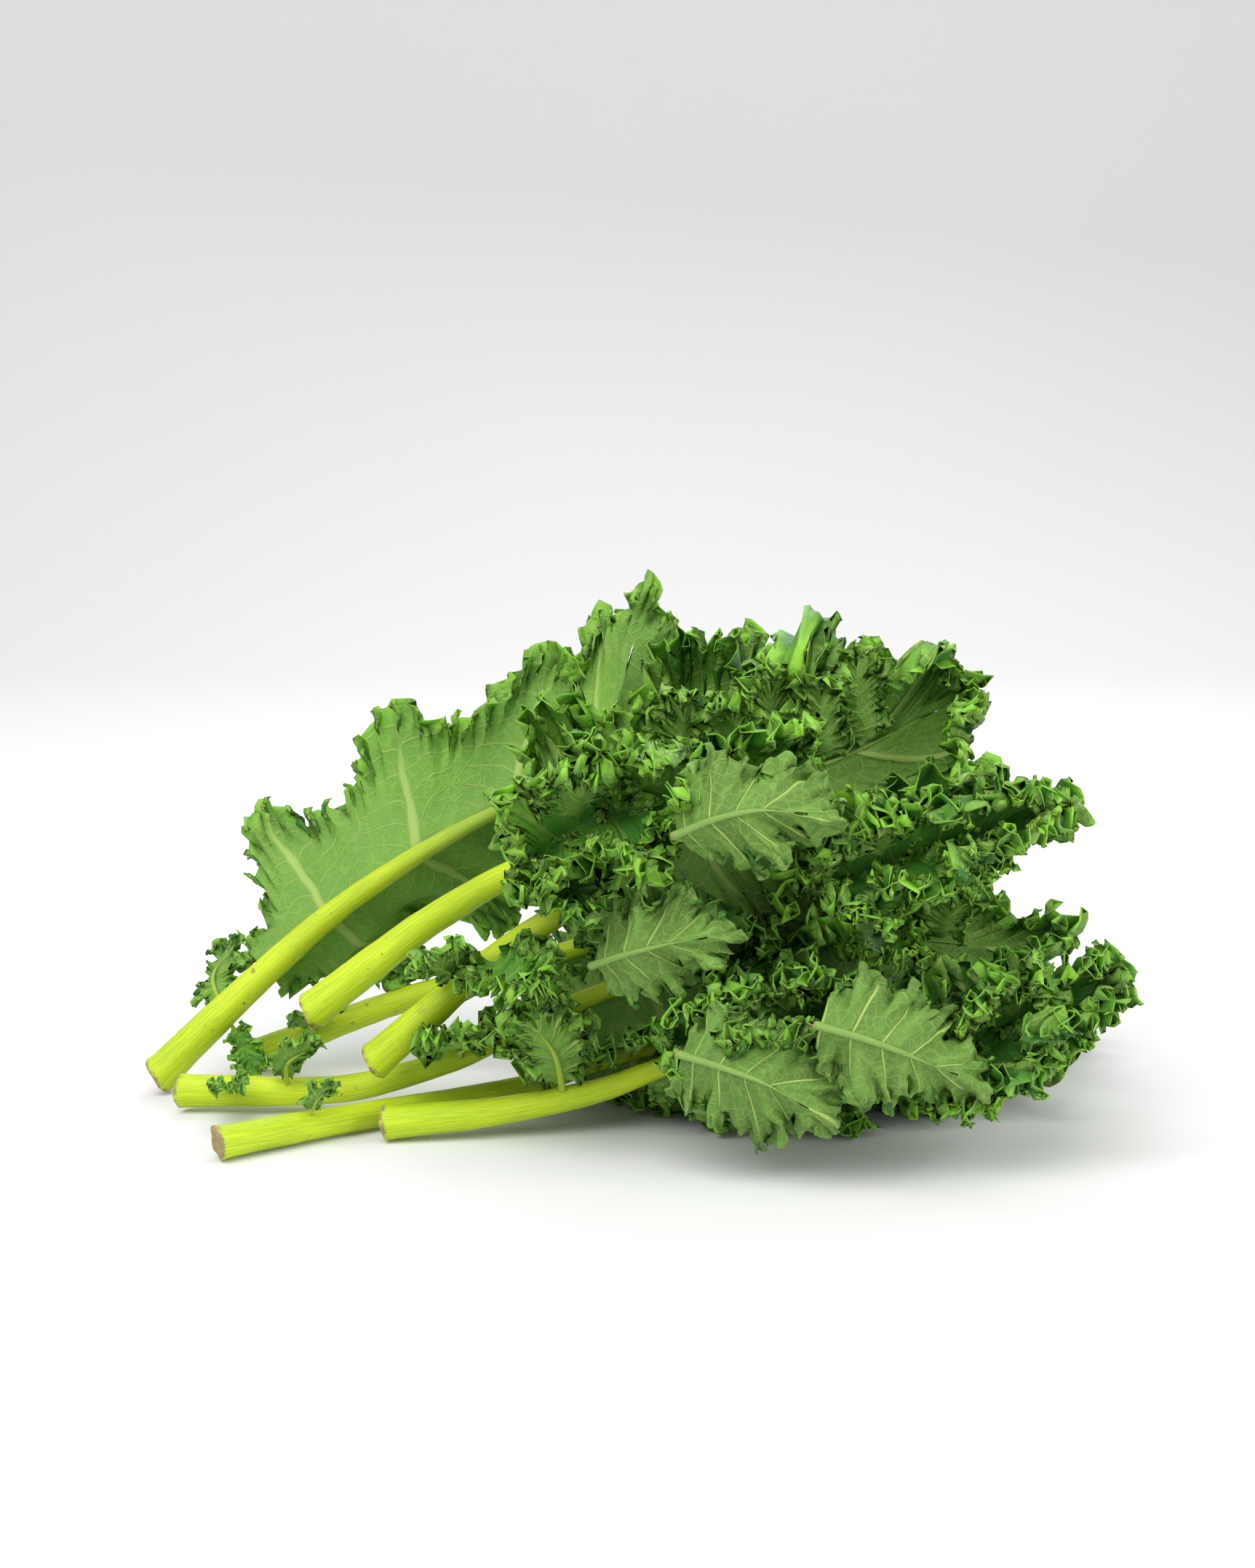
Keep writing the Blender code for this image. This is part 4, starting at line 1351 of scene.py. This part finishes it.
class KALE_OT_leaflets(bpy.types.Operator):
    """Grows the small side leaves on the stalks"""

    bl_idname = "kale.leaflets"
    bl_label = "Side leaflets"

    def execute(self, context):
        laid_leaves, origin = heap()
        look = context.scene.kale_blades
        for laid in laid_leaves.values():
            for leaflet in laid.leaf.leaflets:
                leaf = leaflet_blade(laid.leaf, leaflet, laid.centres, laid.radii)
                piece = tuft_piece(f"{leaf.name}_frilled", leaf, leaflet.width, look, origin)
                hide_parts(leaf.name)
                root = along_curve(laid.centres, np.array(leaflet.at / STALK_END_SHARE))
                path = smooth_curve((root, *leaf.line), STEM_STATIONS + 2)[:STEM_STATIONS]
                radii = np.linspace(*STEM_RADII, STEM_STATIONS) * leaflet.length
                points, faces, along, grain = fine_tube(path, radii, *STEM_GRID, np.array(leaf.face[0]))
                stem = make_mesh(
                    f"{leaf.name}_stem", points, faces, origin, context.scene.collection,
                    values={"along": along + STEM_START, "grain": grain, "rib": np.full(len(points), 0.5)},
                )
                stem.data.materials.append(stalk_finish())
        return {"FINISHED"}


class KALE_OT_stalks(bpy.types.Operator):
    """Draws each stalk over its solid, with a groove, streaks and a rough cut end"""

    bl_idname = "kale.stalks"
    bl_label = "Stalks"

    def execute(self, context):
        laid_leaves, origin = heap()
        for name, laid in laid_leaves.items():
            rings, sides = STALK_GRID if laid.radii[0] > SMALL_STALK else SMALL_STALK_GRID
            share = np.linspace(0.0, STALK_END_SHARE, rings)
            up = rib_frame(laid.leaf, share)[2]
            buried = name in (*FACING, *FACING_AWAY)
            thickness = BURIED_STALK * laid.radii if buried else laid.radii
            points, faces, along, grain = fine_tube(laid.centres, thickness, rings, sides, up)
            inside = along / along.max() - laid.leaf.blade_from / STALK_END_SHARE
            rib = np.full(len(along), 1.0) if buried else 0.9 * smooth_step((inside - 0.2) / 0.4)
            piece = make_mesh(
                f"{name}_ribbed_stalk", points, faces, origin, context.scene.collection,
                values={"along": along, "grain": grain, "rib": rib},
            )
            piece.data.materials.append(stalk_finish())
            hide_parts(f"{name}_stalk")
        return {"FINISHED"}


LOOK_AT = (-1.6, 0.0, 143.5)
LENS = 70.0
FRAME_HEIGHT = 36.0
LIGHTS_LOOK_AT = (0.0, 0.0, 0.08)
LIGHTS = (  # name, place, size, and power over the large light's
    ("Key light", (-0.7, -0.9, 1.5), 1.7, 1.0),
    ("Fill light", (1.3, -0.9, 0.7), 1.2, 0.5),
    ("Back light", (0.2, 1.3, 1.4), 1.2, 0.45),
)
FLOOR_FRONT, FLOOR_BACK, FLOOR_BEND = -2500.0, 1500.0, 900.0
FLOOR_TOP, FLOOR_SIDE = 4500.0, 4500.0


def stage_material(colour):
    shade = Shader("Pale paper")
    cloudy = shade.noise(shade.coordinates(), 1.2, 2.0)
    tone = shade.mix(cloudy.step(0.3, 0.7), shade_of(colour, 0.985), shade_of(colour, 1.0))
    return shade.finish(Base_Color=tone, Roughness=(cloudy - 0.5) * 0.05 + 0.9)


def sweep_floor(collection):
    """A sheet that lies flat in front and turns up in a quarter circle behind: height by distance back."""
    turn = np.linspace(0.0, math.pi / 2, 24)
    y = np.concatenate([[FLOOR_FRONT], FLOOR_BACK + FLOOR_BEND * np.sin(turn), [FLOOR_BACK + FLOOR_BEND]])
    z = np.concatenate([[0.0], FLOOR_BEND * (1.0 - np.cos(turn)), [FLOOR_TOP]])
    x = np.array([-FLOOR_SIDE, FLOOR_SIDE])
    sheet = np.stack(np.broadcast_arrays(x[:, None], y[None], z[None]), -1)
    number = np.arange(sheet.shape[0] * sheet.shape[1]).reshape(sheet.shape[:2])
    mesh = bpy.data.meshes.new("Sweep floor")
    mesh.from_pydata((sheet.reshape(-1, 3) * MM).tolist(), [], quads_of(number).tolist())
    mesh.shade_smooth()
    floor = bpy.data.objects.new("Sweep floor", mesh)
    collection.objects.link(floor)
    return floor


def turned_to(piece, target):
    """Turns a camera or light to look at a point."""
    piece.rotation_euler = (Vector(target) - piece.location).to_track_quat("-Z", "Y").to_euler()


class KALE_OT_stage(bpy.types.Operator):
    """Sets the floor, the camera and the lights"""

    bl_idname = "kale.stage"
    bl_label = "Stage"

    def execute(self, context):
        look = context.scene.kale_stage
        links = context.scene.collection.objects
        origin = heap()[1]
        floor = sweep_floor(context.scene.collection)
        floor.data.materials.append(stage_material(tuple(look.floor)))

        target = np.array(LOOK_AT) * MM - origin * MM
        view = bpy.data.cameras.new("Camera")
        view.lens, view.sensor_fit, view.sensor_height = LENS, "VERTICAL", FRAME_HEIGHT
        camera = bpy.data.objects.new("Camera", view)
        links.link(camera)
        camera.location = (
            target[0],
            target[1] - look.distance * math.cos(look.pitch),
            target[2] + look.distance * math.sin(look.pitch),
        )
        turned_to(camera, target)
        context.scene.camera = camera

        for name, place, size, share in LIGHTS:
            lamp = bpy.data.lights.new(name, "AREA")
            lamp.energy, lamp.size = share * look.key_power, size
            light = bpy.data.objects.new(name, lamp)
            links.link(light)
            light.location = place
            turned_to(light, LIGHTS_LOOK_AT)

        world = bpy.data.worlds.new("Even light")
        world.use_nodes = True
        world.node_tree.nodes["Background"].inputs["Color"].default_value = (1.0, 1.0, 1.0, 1.0)
        world.node_tree.nodes["Background"].inputs["Strength"].default_value = look.sky
        context.scene.world = world
        context.scene.view_settings.view_transform = "Standard"
        return {"FINISHED"}


class KALE_PT_panel(bpy.types.Panel):
    """Lists the sizes and colours, and the operators"""

    bl_label = "Curly kale bunch"
    bl_idname = "KALE_PT_panel"
    bl_space_type = "VIEW_3D"
    bl_region_type = "UI"
    bl_category = "Kale"

    def draw(self, context):
        layout = self.layout
        for operators, group in PANEL_GROUPS:
            settings = getattr(context.scene, group)
            box = layout.box()
            for operator in operators:
                box.operator(operator.bl_idname)
            for name in settings.__annotations__:
                box.prop(settings, name)


PANEL_GROUPS = (
    ((KALE_OT_blades, KALE_OT_curls, KALE_OT_leaflets), "kale_blades"),
    ((KALE_OT_stalks,), "kale_stalks"),
    ((KALE_OT_stage,), "kale_stage"),
)
GROUPS = {
    "kale_blades": KaleBladeSettings,
    "kale_stalks": KaleStalkSettings,
    "kale_stage": KaleStageSettings,
}
OPERATORS = (KALE_OT_blades, KALE_OT_curls, KALE_OT_leaflets, KALE_OT_stalks, KALE_OT_stage)


def register():
    for kind in (*GROUPS.values(), *OPERATORS, KALE_PT_panel):
        bpy.utils.register_class(kind)
    for name, kind in GROUPS.items():
        setattr(bpy.types.Scene, name, bpy.props.PointerProperty(type=kind))


def unregister():
    for name in GROUPS:
        delattr(bpy.types.Scene, name)
    for kind in (KALE_PT_panel, *reversed(OPERATORS), *reversed(GROUPS.values())):
        bpy.utils.unregister_class(kind)


def main():
    register()
    bpy.ops.kale.stage()
    bpy.ops.kale.blades()
    bpy.ops.kale.curls()
    bpy.ops.kale.leaflets()
    bpy.ops.kale.stalks()
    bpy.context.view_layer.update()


if __name__ == "__main__":
    main()
